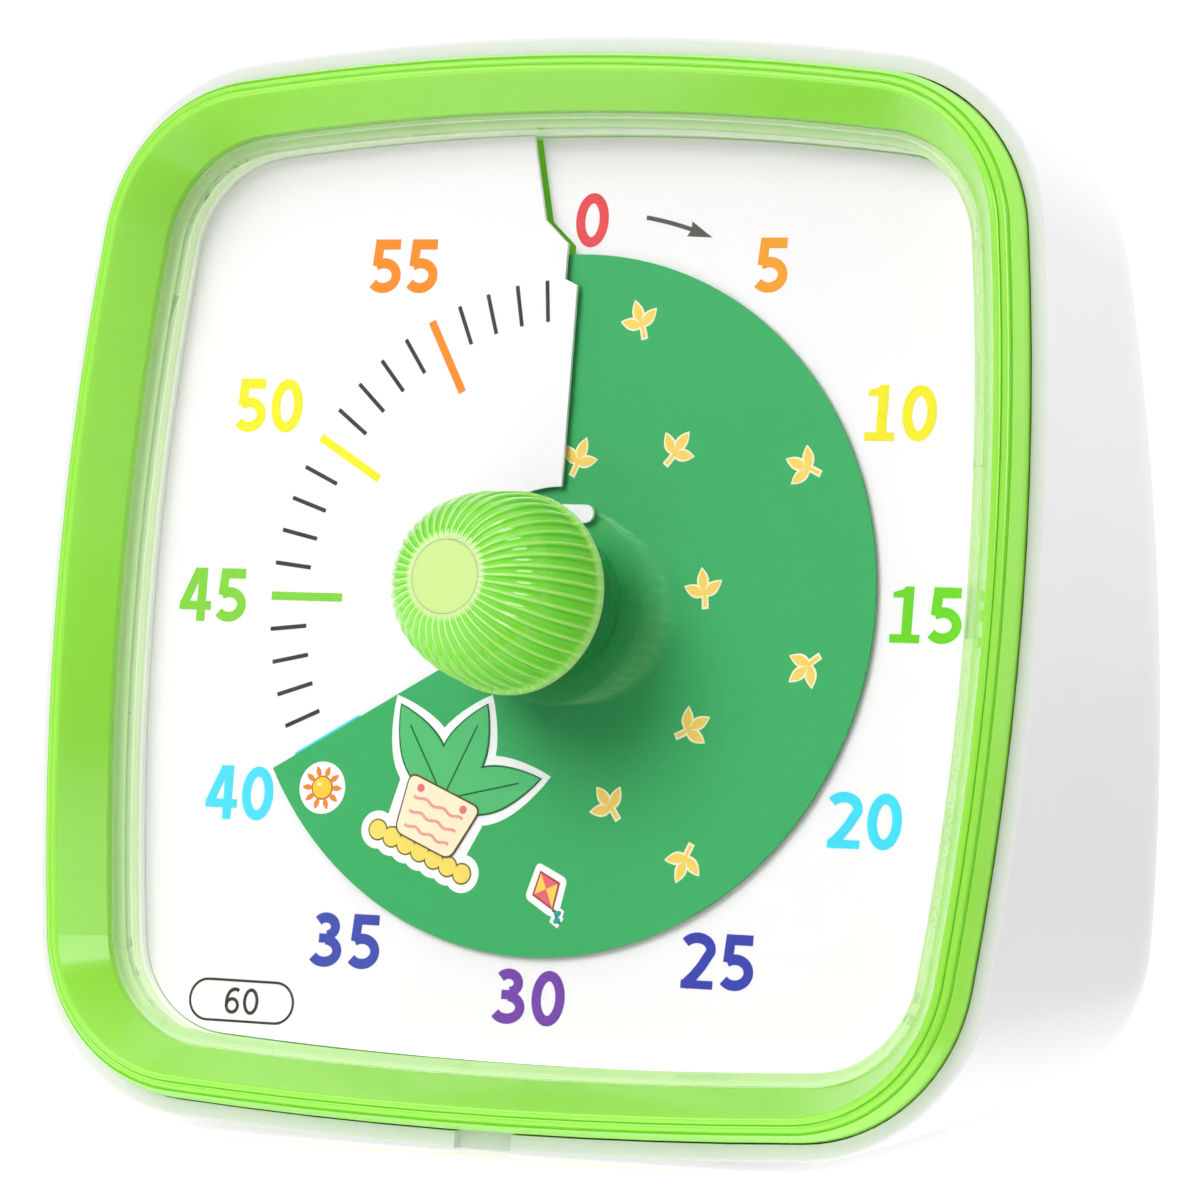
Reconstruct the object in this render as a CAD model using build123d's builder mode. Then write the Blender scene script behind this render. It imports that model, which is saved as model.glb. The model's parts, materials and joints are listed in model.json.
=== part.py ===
from build123d import *
from math import atan2, cos, degrees, radians, sin, sqrt, tan
import os

os.makedirs("parts", exist_ok=True)

# Visual countdown timer: a square clock case whose face leans back, with a
# coloured disc that winds out through a slit in the dial as the knob turns.
# Millimetres and degrees. +X is the object's right-hand side seen from the
# front, +Y goes to its back, +Z is up, and the feet stand on Z = 0.

# --- Case ---------------------------------------------------------------
CASE_HALF = 69.9            # the face's middle to the middle of a side
SIDE_RADIUS = 370.0         # bulge of each side and of the top
BOTTOM_RADIUS = 690.0       # bulge of the underside
CORNER_RADIUS = 24.5
FACE_RISE = 0.95            # the face's middle stands this far above the knob's axis
FACE_LEAN = 9.5             # the face leans back from the vertical
REAR_LEAN = 5.6             # the back leans forward
REAR_DEPTH = 43.2           # dial to back, along +Y at the knob's axis
REAR_TOP_DROP = 8.5         # the top slopes down to the back by this much
REAR_ROUND = 19.0           # large rounding around the back
WALL = 2.2
RIM_LEVEL = 8.6             # the case's front rim, above the dial
RIM_ROUND = 0.4
FOOT_DROP = 0.4             # the feet reach this far below the case
NOTCH_WIDTH = 8.0           # notch in the rim for prising the bezel out
NOTCH_DEPTH = 1.2

# --- Fits -----------------------------------------------------------------
RUNNING = 0.05              # radial clearance of a shaft that turns
GAP = 0.2                   # between pieces that only stand side by side

# --- Bezel, lens and dial carrier: insets from the case's outline, levels above
# the dial ------------------------------------------------------------------
BEZEL_LIP_INSET = 9.1
BEZEL_LIP_LEVEL = 7.1
BEZEL_LIP_THICKNESS = 1.7
SLOPE_TOP_INSET = 5.3
SLOPE_TOP_LEVEL = 13.0
BEAD_WIDTH = 0.9
BEAD_RISE = 0.45
SHOULDER_LEVEL = 10.2       # top of the bezel's outer edge
GROOVE_DEPTH = 0.25
BEZEL_WALL = 1.9
SKIRT_DEPTH = 7.5           # behind the case's rim

LENS_THICKNESS = 1.5
LENS_EDGE_ROUND = 0.8
LENS_FLANGE_WIDTH = 1.8
LENS_HOLE_RADIUS = 5.0

CARRIER_WALL = 3.5
CARRIER_PLATE = 2.0
CARRIER_FLOOR_LEVEL = -3.5

# --- Dial and countdown disc: both are helical sheets -----------------------
DIAL_PITCH = 1.8            # rise of the dial from one edge of its slit to the other
DIAL_SHEET = 0.5
DIAL_POSTS = 8              # they hold the dial above its carrier
DIAL_POST_CIRCLE = 54.0
DIAL_POST_RADIUS = 1.5
DIAL_HOLE_RADIUS = 14.8
SLIT_GAP = 0.25
SLIT_JOG_X = -1.8           # the slit passes left of the zero mark and numeral
SLIT_JOG_START = 40.4
SLIT_JOG_SLANT = 0.8
SLIT_JOG_END = 45.7
SLIT_OUTER_X = -5.3
SLIT_OUTER_Y = 48.8
SLIT_RIM_X = -8.0
SLIT_RIM_Y = 60.2
TONGUE_Y = 11.4             # rounded tongue that leads the disc under the dial
TONGUE_HEIGHT = 2.3
TONGUE_REACH = 4.9
TONGUE_SWEEP = 26.0         # the sheet runs on this far past the slit
CUT_MARGIN = 4.0            # degrees by which the slit's cutters pass the sheet's ends

DISC_RADIUS = 44.5
DISC_SHEET = 0.3
DISC_SWEEP = 358.0
DISC_LEAD = 240.0           # leading edge at rest: forty minutes are left

HUB_RADIUS = 9.2
HUB_BOTTOM_LEVEL = -1.4
HUB_TOP_LEVEL = 2.2
WINDOW_RADIUS = 8.0         # arc-shaped window in the hub
WINDOW_WIDTH = 1.4
WINDOW_FROM = 70.0
WINDOW_TO = 150.0

# --- Knob and shaft ----------------------------------------------------------
SHAFT_RADIUS = 2.0
SHAFT_FLAT = 1.5
PIVOT_RADIUS = 1.2
KNOB_BOTTOM_LEVEL = 11.7
KNOB_TOP_LEVEL = 29.4
KNOB_RIM_RADIUS = 12.7
KNOB_RIM_HEIGHT = 1.1
KNOB_DOME_RADIUS = 12.3
KNOB_SHOULDER_LEVEL = 14.0
KNOB_WALL = 2.4
KNOB_HOLLOW_DEPTH = 8.0
KNOB_BOSS_RADIUS = 4.2
KNOB_BOSS_DROP = 2.4        # below the knob's rim
SHAFT_DEPTH_IN_KNOB = 14.0
FLUTES = 44
FLUTE_RADIUS = 0.95
FLUTE_DEPTH = 0.41
FLUTE_DEPTH_AT_CAP = 0.05
CAP_RADIUS = 4.6
CAP_THICKNESS = 0.8

# --- Movement ------------------------------------------------------------------
MOVEMENT_HALF = 29.0
MOVEMENT_FRONT = 9.0        # depth of the front half of its housing
MOVEMENT_DEPTH = 17.0
MOVEMENT_WALL = 1.5
MOVEMENT_CORNER = 4.0
EAR_REACH = 33.5
EAR_RADIUS = 3.2
EAR_THICKNESS = 1.6
EAR_BOSS_LENGTH = 4.0
EAR_BOSS_RADIUS = 3.5
BEARING_RADIUS = 2.4
BEARING_HEIGHT = 2.4
BUSHING_RADIUS = 3.5
BUSHING_RISE = 2.6          # stands this far in front of the housing

GEAR_MODULE = 0.4
ADDENDUM = 0.95             # in modules
DEDENDUM = 1.2
ROOT_WIDTH = 1.45           # half a tooth, in quarters of the pitch
PITCH_WIDTH = 0.86
TIP_WIDTH = 0.36
WHEEL_TEETH = 48
PINION_TEETH = 16
CENTRE_SLACK = 0.12
WHEEL_THICKNESS = 1.3
LAYER_STEP = 3.0            # from one wheel's layer to the next
MAIN_LAYER_DEPTH = 3.4      # housing front to the main wheel's front face
ARBOR_RADIUS = 0.8
SECOND_DIRECTION = 225.0    # where each wheel stands, seen from the one before
THIRD_DIRECTION = -15.0
ROTOR_DIRECTION = 45.0
MAGNET_RADIUS = 3.0
MAGNET_HEIGHT = 2.6
STATOR_THICKNESS = 1.0
STATOR_AIR_GAP = 0.6
STATOR_LEFT = 5.0
STATOR_WIDTH = 19.0
STATOR_BOTTOM = -9.0
STATOR_TOP = 19.5
STATOR_BAR = 4.0
COIL_WALL = 1.4

# --- Circuit board ----------------------------------------------------------------
BOARD_WIDTH = 44.0
BOARD_HEIGHT = 30.0
BOARD_THICKNESS = 1.6
BOARD_STANDOFF = 2.0
STANDOFF_RADIUS = 3.5
BOARD_FOOT = 5.7            # the board reaches this far below its screws
BOARD_SCREW_SPACING = 36.0
CHIP_SIZE = 9.0
CHIP_HEIGHT = 1.4
CRYSTAL_LENGTH = 8.0
CRYSTAL_RADIUS = 1.5

# --- Battery bay in the back: places on the back are measured from the knob's axis ---
BAY_Y = -36.0
BAY_WALL = 1.6
BAY_MARGIN = 1.2
CELL_RADIUS = 7.25          # one AA cell
CELL_LENGTH = 49.0
CELL_BUTTON_RADIUS = 2.75
CELL_BUTTON_LENGTH = 1.4
SPRING_ROOM = 5.0
CONTACT_THICKNESS = 0.5
CONTACT_HEIGHT = 10.0
SPRING_WIRE_RADIUS = 0.4
SPRING_RADIUS = 3.4
SPRING_TURNS = 3
DOOR_LEDGE = 2.8
DOOR_THICKNESS = 1.5
DOOR_CORNER = 3.0
DOOR_TAB_WIDTH = 10.0
DOOR_TAB_LENGTH = 4.0
DOOR_TAB_THICKNESS = 1.2
FINGER_GROOVES = 4
FINGER_GROOVE_PITCH = 2.4
FINGER_GROOVE_WIDTH = 1.2
FINGER_GROOVE_DEPTH = 0.6

# --- Sound switch and buzzer on the back ---------------------------------------------
SWITCH_X = -28.0
SWITCH_Y = 14.0
SWITCH_TRAVEL = 3.0         # each way from the middle
SLIDER_LENGTH = 4.0
SLIDER_WIDTH = 2.8
SLIDER_RISE = 1.2
SLIDER_PLATE_LENGTH = 12.0
SLIDER_PLATE_WIDTH = 5.0
SLIDER_PLATE_THICKNESS = 0.8
SWITCH_BODY_LENGTH = 20.0
SWITCH_BODY_WIDTH = 8.0
SWITCH_BODY_DEPTH = 5.0
BUZZER_X = 28.0
BUZZER_Y = 14.0
BUZZER_RADIUS = 10.0
BUZZER_THICKNESS = 3.5
BUZZER_RING = 1.2
SOUND_HOLE_RADIUS = 0.9
SOUND_HOLE_CIRCLE = 4.5
SOUND_HOLES = 6

# --- Feet and screws ----------------------------------------------------------------
FOOT_RADIUS = 5.0
FOOT_X = 30.0
FOOT_FRONT_Y = -6.0         # both measured from the dial, along +Y
FOOT_REAR_Y = 27.0

TUBE_XY = 42.0              # case screw tubes, from the knob's axis
TUBE_RADIUS = 4.2
TUBE_TOP_LEVEL = -12.0
TUBE_SEAT_DEPTH = 5.0
CASE_SCREW_RADIUS = 1.45
CASE_SCREW_LENGTH = 10.0
CASE_HEAD_RADIUS = 2.8
CASE_HEAD_HEIGHT = 1.9
BEZEL_POST_RADIUS = 2.6
BEZEL_POST_INSET = 6.4
SMALL_SCREW_RADIUS = 1.0
SMALL_SCREW_LENGTH = 5.0
SMALL_HEAD_RADIUS = 1.9
SMALL_HEAD_HEIGHT = 1.3

# --- Places that follow from the sizes above ------------------------------------------
lean = radians(FACE_LEAN)
rear_lean = radians(REAR_LEAN)
bottom_drop = (CASE_HALF - FACE_RISE) * cos(lean) - RIM_LEVEL * sin(lean)
axis_height = FOOT_DROP + bottom_drop
round_height = REAR_ROUND - bottom_drop
case_back = REAR_DEPTH - round_height * tan(rear_lean) - REAR_ROUND / cos(rear_lean) + REAR_ROUND
case_front = -KNOB_TOP_LEVEL * cos(lean) - CAP_RADIUS * sin(lean)
dial_y = -(case_back + case_front) / 2

dial_plane = Plane(origin=(0, dial_y, axis_height), x_dir=(1, 0, 0), z_dir=(0, -cos(lean), sin(lean)))
rear_plane = Plane(
    origin=(0, dial_y + REAR_DEPTH, axis_height), x_dir=(-1, 0, 0), z_dir=(0, cos(rear_lean), sin(rear_lean))
)
rear_outline_plane = Plane(origin=rear_plane.origin, x_dir=(1, 0, 0), z_dir=-rear_plane.z_dir)
turning_axis = Axis(dial_plane.origin, dial_plane.z_dir)
axis_section = Plane(origin=dial_plane.origin, x_dir=(1, 0, 0), z_dir=-dial_plane.y_dir)

# Levels and insets of the front pieces.
bezel_outer_inset = WALL + GAP
lip_underside = BEZEL_LIP_LEVEL - BEZEL_LIP_THICKNESS
lens_inset = BEZEL_LIP_INSET + GAP
flange_top_level = lip_underside - GAP
flange_inset = lens_inset - LENS_FLANGE_WIDTH
flange_bottom_level = flange_top_level - LENS_THICKNESS
carrier_inner_inset = flange_inset + CARRIER_WALL
carrier_plate_inset = bezel_outer_inset + BEZEL_WALL + GAP
carrier_back_level = CARRIER_FLOOR_LEVEL - CARRIER_PLATE
dial_inset = carrier_inner_inset + GAP
dial_start_level = -DIAL_PITCH / 2
disc_clearance = (DIAL_PITCH - DIAL_SHEET - DISC_SHEET) / 2
disc_start_level = dial_start_level + disc_clearance + DISC_SHEET

# Levels in the movement, which hangs behind the carrier.
movement_inner_level = carrier_back_level - MOVEMENT_WALL
movement_split_level = carrier_back_level - MOVEMENT_FRONT
movement_back_level = carrier_back_level - MOVEMENT_DEPTH
movement_floor_level = movement_back_level + MOVEMENT_WALL
ear_level = carrier_back_level - EAR_BOSS_LENGTH
main_layer_level = carrier_back_level - MAIN_LAYER_DEPTH
second_layer_level = main_layer_level - LAYER_STEP
third_layer_level = second_layer_level - LAYER_STEP
stator_level = third_layer_level - LAYER_STEP + STATOR_THICKNESS / 2
board_level = movement_back_level - BOARD_STANDOFF
shaft_top_level = KNOB_BOTTOM_LEVEL + SHAFT_DEPTH_IN_KNOB

# Where the wheels stand, seen from the front.
centre_distance = GEAR_MODULE * (WHEEL_TEETH + PINION_TEETH) / 2 + CENTRE_SLACK


def beside(point, direction):
    """The point one gear centre distance away in a direction."""
    return (
        point[0] + centre_distance * cos(radians(direction)),
        point[1] + centre_distance * sin(radians(direction)),
    )


main_place = (0, 0)
second_place = beside(main_place, SECOND_DIRECTION)
third_place = beside(second_place, THIRD_DIRECTION)
rotor_place = beside(third_place, ROTOR_DIRECTION)

# The battery bay, in the back plane.
bay_length = CELL_LENGTH + CELL_BUTTON_LENGTH + SPRING_ROOM + CONTACT_THICKNESS
bay_width = 2 * CELL_RADIUS + 2 * BAY_MARGIN
bay_depth = DOOR_THICKNESS + 2 * CELL_RADIUS + BAY_MARGIN
door_length = bay_length + 2 * DOOR_LEDGE
door_width = bay_width + 2 * DOOR_LEDGE
cell_level = -(DOOR_THICKNESS + bay_depth) / 2
slot_length = SLIDER_LENGTH + 2 * SWITCH_TRAVEL + 2 * GAP

# How far the case's outline reaches above and below the knob's axis, at its face and back.
face_heights = (CASE_HALF + FACE_RISE, CASE_HALF - FACE_RISE)
rear_heights = (CASE_HALF + FACE_RISE - REAR_TOP_DROP, bottom_drop / cos(rear_lean))


def outline_corner(inset, height, middle, end_radius):
    """Start, middle and end of the round corner between the right side and an end.

    The side bulges about a middle height, and the end, at height, bulges by end_radius.
    """
    side_centre = Vector(CASE_HALF - SIDE_RADIUS, middle)
    end_centre = Vector(0, height - end_radius)
    between = end_centre - side_centre
    side_reach = SIDE_RADIUS - CORNER_RADIUS
    end_reach = end_radius - CORNER_RADIUS
    along = (side_reach**2 - end_reach**2 + between.length**2) / (2 * between.length)
    across = sqrt(side_reach**2 - along**2)
    step = between.normalized()
    centre = side_centre + step * along + Vector(-step.Y, step.X) * across
    to_side = (centre - side_centre).normalized()
    to_end = (centre - end_centre).normalized()
    to_middle = (to_side + to_end).normalized()
    return [centre + way * (CORNER_RADIUS - inset) for way in (to_side, to_middle, to_end)]


def outline(inset, heights=face_heights):
    """The case's outline, shrunk by inset: four bulging sides and four round corners."""
    top, bottom = heights
    middle = (top - bottom) / 2
    upper = outline_corner(inset, top, middle, SIDE_RADIUS)
    lower = [Vector(point.X, -point.Y) for point in outline_corner(inset, bottom, -middle, BOTTOM_RADIUS)]
    right = [*reversed(lower), Vector(CASE_HALF - inset, middle), *upper]
    left = [Vector(-point.X, point.Y) for point in reversed(right)]
    points = [*right, Vector(0, top - inset), *left, Vector(0, inset - bottom)]
    points = points[2:] + points[:3]
    with BuildLine() as line:
        for start, through, end in zip(points[0::2], points[1::2], points[2::2]):
            ThreePointArc(start, through, end)
    return line.line


def squircle(inset):
    """Add the case's outline, shrunk by inset, to the open sketch."""
    make_face(outline(inset).edges())


def case_body(inset, open_front=False):
    """The case's outer form, shrunk by inset all round and at the back."""
    with BuildPart() as body:
        with BuildSketch(dial_plane.offset(RIM_LEVEL)) as face:
            squircle(inset)
        with BuildSketch(rear_outline_plane.offset(inset)) as back:
            make_face(outline(inset, rear_heights).edges())
        loft([face.sketch.face(), back.sketch.face()], ruled=True)
        fillet(body.faces().sort_by(Axis.Y)[-1].edges(), REAR_ROUND - inset)
        if open_front:
            extrude(face.sketch, amount=REAR_DEPTH, dir=(0, -1, 0))
    return body.part


def ring(inset, inner_inset, bottom, top):
    """Ring between two of the case's outlines and two levels above the dial."""
    with BuildPart() as body:
        with BuildSketch(dial_plane.offset(bottom)):
            squircle(inset)
            make_face(outline(inner_inset).edges(), mode=Mode.SUBTRACT)
        extrude(amount=top - bottom)
    return body.part


def helical_sheet(inner, outer, thickness, start, sweep_angle, top):
    """Sheet that rises clockwise by DIAL_PITCH a turn, from radius inner to outer.

    Angles go clockwise from twelve o'clock. The sheet's front is at level top where it
    crosses an angle of zero.
    """
    with BuildPart() as sheet:
        with BuildLine() as path:
            Helix(DIAL_PITCH, DIAL_PITCH * sweep_angle / 360, (inner + outer) / 2, lefthand=True)
        with BuildSketch(Plane(path.line @ 0, x_dir=(1, 0, 0), z_dir=path.line % 0)):
            Rectangle(outer - inner, thickness)
        sweep(is_frenet=True)
    lift = top + DIAL_PITCH * start / 360 - thickness / 2
    return Pos(0, 0, lift) * Rot(0, 0, 90 - start) * sheet.part


def screw(radius, length, head_radius, head_height):
    """Cross-head screw: its head's underside is at the origin and it points along +Z."""
    recess = 1.2 * head_radius
    blade = recess / 4
    with BuildPart() as body:
        Cylinder(radius, length, align=(Align.CENTER, Align.CENTER, Align.MIN))
        Cylinder(head_radius, head_height, align=(Align.CENTER, Align.CENTER, Align.MAX))
        fillet(body.edges().sort_by(Axis.Z)[0], head_height / 3)
        with Locations((0, 0, -head_height)):
            Box(recess, blade, head_height, mode=Mode.SUBTRACT)
            Box(blade, recess, head_height, mode=Mode.SUBTRACT)
    return body.part


def small_screw():
    """The screw that holds the bezel, the movement and the circuit board."""
    return screw(SMALL_SCREW_RADIUS, SMALL_SCREW_LENGTH, SMALL_HEAD_RADIUS, SMALL_HEAD_HEIGHT)


def cut_circles(places, radius, level, depth):
    """Cut round holes at places in the open part, from a level back by depth."""
    with BuildSketch(dial_plane.offset(level)) as holes:
        with Locations(*places):
            Circle(radius)
    extrude(holes.sketch, amount=-depth, mode=Mode.SUBTRACT)


def add_circles(places, radius, level, depth):
    """Add round bosses at places to the open part, from a level back by depth."""
    with BuildSketch(dial_plane.offset(level)) as bosses:
        with Locations(*places):
            Circle(radius)
    extrude(bosses.sketch, amount=-depth)


def square_places(half):
    """Four places at the corners of a square about the knob's axis."""
    return [(x, y) for x in (-half, half) for y in (-half, half)]


upper_post = outline_corner(BEZEL_POST_INSET, CASE_HALF + FACE_RISE, FACE_RISE, SIDE_RADIUS)[1]
lower_post = outline_corner(BEZEL_POST_INSET, CASE_HALF - FACE_RISE, -FACE_RISE, BOTTOM_RADIUS)[1]
corner_places = [
    (x * post.X, y * post.Y)
    for x in (-1, 1)
    for y, post in ((1, upper_post), (-1, lower_post))
]
tube_places = square_places(TUBE_XY)
ear_places = [(-EAR_REACH, 0), (EAR_REACH, 0)]
board_screw_places = [(-BOARD_SCREW_SPACING / 2, 0), (BOARD_SCREW_SPACING / 2, 0)]


# ============================ Case ====================================================
with BuildPart() as case_inside:
    # Screw tubes, battery bay and buzzer ring, trimmed to the case's form.
    add_circles(tube_places, TUBE_RADIUS, TUBE_TOP_LEVEL, 2 * REAR_DEPTH)
    with BuildSketch(rear_plane):
        with Locations((0, BAY_Y)):
            Rectangle(bay_length + 2 * BAY_WALL, bay_width + 2 * BAY_WALL)
    extrude(amount=-(bay_depth + BAY_WALL))
    with BuildSketch(rear_plane):
        with Locations((0, BAY_Y)):
            RectangleRounded(door_length + 2 * BAY_WALL, door_width + 2 * BAY_WALL, DOOR_CORNER)
    extrude(amount=-(DOOR_THICKNESS + BAY_WALL))
    with BuildSketch(rear_plane):
        with Locations((-BUZZER_X, BUZZER_Y)):
            Circle(BUZZER_RADIUS + GAP + BUZZER_RING)
            Circle(BUZZER_RADIUS + GAP, mode=Mode.SUBTRACT)
    extrude(amount=-(WALL + BUZZER_THICKNESS))
    add(case_body(WALL / 2), mode=Mode.INTERSECT)

with BuildPart() as rear_case:
    add(case_body(0))
    rim = rear_case.faces().filter_by(turning_axis)
    fillet(rim.edges(), RIM_ROUND)
    add(case_body(WALL, open_front=True), mode=Mode.SUBTRACT)
    add(case_inside.part)
    cut_circles(tube_places, CASE_SCREW_RADIUS + GAP, TUBE_TOP_LEVEL, 2 * REAR_DEPTH)
    cut_circles(tube_places, CASE_HEAD_RADIUS + GAP, TUBE_TOP_LEVEL - TUBE_SEAT_DEPTH, 2 * REAR_DEPTH)
    with BuildSketch(rear_plane):
        with Locations((0, BAY_Y)):
            Rectangle(bay_length, bay_width)
    extrude(amount=-bay_depth, mode=Mode.SUBTRACT)
    with BuildSketch(rear_plane):
        with Locations((0, BAY_Y)):
            RectangleRounded(door_length, door_width, DOOR_CORNER)
    extrude(amount=-DOOR_THICKNESS, mode=Mode.SUBTRACT)
    with BuildSketch(rear_plane):
        with Locations((-SWITCH_X, SWITCH_Y)):
            Rectangle(slot_length, SLIDER_WIDTH + 2 * GAP)
        with Locations((-BUZZER_X, BUZZER_Y)):
            Circle(SOUND_HOLE_RADIUS)
            with PolarLocations(SOUND_HOLE_CIRCLE, SOUND_HOLES):
                Circle(SOUND_HOLE_RADIUS)
    extrude(amount=-2 * WALL, mode=Mode.SUBTRACT)
    with BuildSketch(dial_plane.offset(RIM_LEVEL)):
        with Locations((0, FACE_RISE - CASE_HALF)):
            Rectangle(NOTCH_WIDTH, 3 * WALL)
    extrude(amount=-NOTCH_DEPTH, mode=Mode.SUBTRACT)
rear_case.part.label = "rear_case"
export_step(rear_case.part, "parts/rear_case.step")


# ============================ Front ===================================================
side_section = Plane(
    origin=dial_plane.origin + FACE_RISE * dial_plane.y_dir, x_dir=(1, 0, 0), z_dir=axis_section.z_dir
)
bead_start = SLOPE_TOP_INSET - 2 * BEAD_WIDTH
bead_levels = [SLOPE_TOP_LEVEL - BEAD_RISE * step for step in (2, 1, 0)]
skirt_inner_inset = bezel_outer_inset + BEZEL_WALL


def at(inset, level):
    """A point of the bezel's section."""
    return (CASE_HALF - inset, level)


with BuildPart() as bezel_skirt:
    # It runs back inside the case, parallel to its walls, and is a little thinner than the edge.
    with BuildSketch(dial_plane.offset(RIM_LEVEL - RIM_ROUND)):
        squircle(0)
    extrude(amount=-SKIRT_DEPTH)
    add(case_body(bezel_outer_inset + GAP), mode=Mode.INTERSECT)
    add(case_body(skirt_inner_inset - GAP, open_front=True), mode=Mode.SUBTRACT)

with BuildPart() as front_bezel:
    with BuildSketch(side_section):
        with BuildLine():
            Polyline(
                at(bezel_outer_inset, RIM_LEVEL - RIM_ROUND),
                at(bezel_outer_inset, SHOULDER_LEVEL),
                at(bead_start - 2 * GAP, bead_levels[0]),
                at(bead_start - GAP, bead_levels[0] - GROOVE_DEPTH),
                at(bead_start, bead_levels[0]),
            )
            for bead in range(2):
                inset = bead_start + bead * BEAD_WIDTH
                ThreePointArc(
                    at(inset, bead_levels[bead]),
                    at(inset + BEAD_WIDTH / 2, bead_levels[bead + 1] + BEAD_RISE / 2),
                    at(inset + BEAD_WIDTH, bead_levels[bead + 1]),
                )
            Polyline(
                at(SLOPE_TOP_INSET, SLOPE_TOP_LEVEL),
                at(BEZEL_LIP_INSET, BEZEL_LIP_LEVEL),
                at(BEZEL_LIP_INSET, lip_underside),
                at(flange_inset, lip_underside),
                at(flange_inset, BEZEL_LIP_LEVEL),
                at(SLOPE_TOP_INSET, SHOULDER_LEVEL),
                at(skirt_inner_inset, SHOULDER_LEVEL - BEZEL_WALL / 2),
                at(skirt_inner_inset, RIM_LEVEL - RIM_ROUND),
                at(bezel_outer_inset, RIM_LEVEL - RIM_ROUND),
            )
        make_face()
    sweep(path=dial_plane.location * outline(0))
    add(bezel_skirt.part)
    add_circles(corner_places, BEZEL_POST_RADIUS, BEZEL_LIP_LEVEL, BEZEL_LIP_LEVEL - CARRIER_FLOOR_LEVEL)
    thread_top_level = CARRIER_FLOOR_LEVEL + SMALL_SCREW_LENGTH
    cut_circles(corner_places, SMALL_SCREW_RADIUS + RUNNING, thread_top_level, SMALL_SCREW_LENGTH)
front_bezel.part.label = "front_bezel"
export_step(front_bezel.part, "parts/front_bezel.step")

with BuildPart() as lens:
    add(ring(flange_inset, carrier_inner_inset, flange_bottom_level, flange_top_level))
    with BuildSketch(dial_plane.offset(flange_top_level)):
        squircle(lens_inset)
        Circle(LENS_HOLE_RADIUS, mode=Mode.SUBTRACT)
    extrude(amount=LENS_THICKNESS)
    window_front = lens.faces().filter_by(turning_axis).sort_by(turning_axis)[-1]
    fillet(window_front.outer_wire().edges(), LENS_EDGE_ROUND)
    cut_circles(corner_places, BEZEL_POST_RADIUS + GAP, flange_top_level, LENS_THICKNESS)
lens.part.label = "lens"
export_step(lens.part, "parts/lens.step")

with BuildPart() as dial_carrier:
    with BuildSketch(dial_plane.offset(carrier_back_level)):
        squircle(carrier_plate_inset)
    extrude(amount=CARRIER_PLATE)
    add(ring(flange_inset, carrier_inner_inset, CARRIER_FLOOR_LEVEL, flange_bottom_level))
    tube_length = carrier_back_level - TUBE_TOP_LEVEL
    post_room = flange_bottom_level - CARRIER_FLOOR_LEVEL
    add_circles(tube_places, TUBE_RADIUS, carrier_back_level, tube_length)
    add_circles(ear_places, EAR_BOSS_RADIUS, carrier_back_level, EAR_BOSS_LENGTH)
    cut_circles(corner_places, BEZEL_POST_RADIUS + GAP, flange_bottom_level, post_room)
    cut_circles(corner_places, SMALL_SCREW_RADIUS + RUNNING, CARRIER_FLOOR_LEVEL, CARRIER_PLATE)
    cut_circles(tube_places, CASE_SCREW_RADIUS + RUNNING, carrier_back_level, tube_length)
    cut_circles(ear_places, SMALL_SCREW_RADIUS + RUNNING, carrier_back_level, EAR_BOSS_LENGTH)
    cut_circles([main_place], BUSHING_RADIUS + GAP, CARRIER_FLOOR_LEVEL, CARRIER_PLATE)
    add(case_body(WALL + GAP, open_front=True), mode=Mode.INTERSECT)
dial_carrier.part.label = "dial_carrier"
export_step(dial_carrier.part, "parts/dial_carrier.step")

# ============================ Dial and disc ===========================================
sheet_reach = CASE_HALF * sqrt(2)
sheet_start = degrees(atan2(SLIT_RIM_X, SLIT_RIM_Y)) - CUT_MARGIN
slit = [
    (0, DIAL_HOLE_RADIUS * cos(radians(TONGUE_SWEEP)) - SLIT_GAP),
    (0, SLIT_JOG_START),
    (SLIT_JOG_X, SLIT_JOG_START + SLIT_JOG_SLANT),
    (SLIT_JOG_X, SLIT_JOG_END),
    (SLIT_OUTER_X, SLIT_OUTER_Y),
    (SLIT_RIM_X, SLIT_RIM_Y),
]


def beside_slit(offset, sweep_angle):
    """Outline of the dial on one side of its slit, out to an angle from twelve o'clock."""
    far = tan(radians(sweep_angle))
    edge = [(x + offset, y) for x, y in slit]
    return edge + [(edge[-1][1] * far, edge[-1][1]), (edge[0][1] * far, edge[0][1])]


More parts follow.
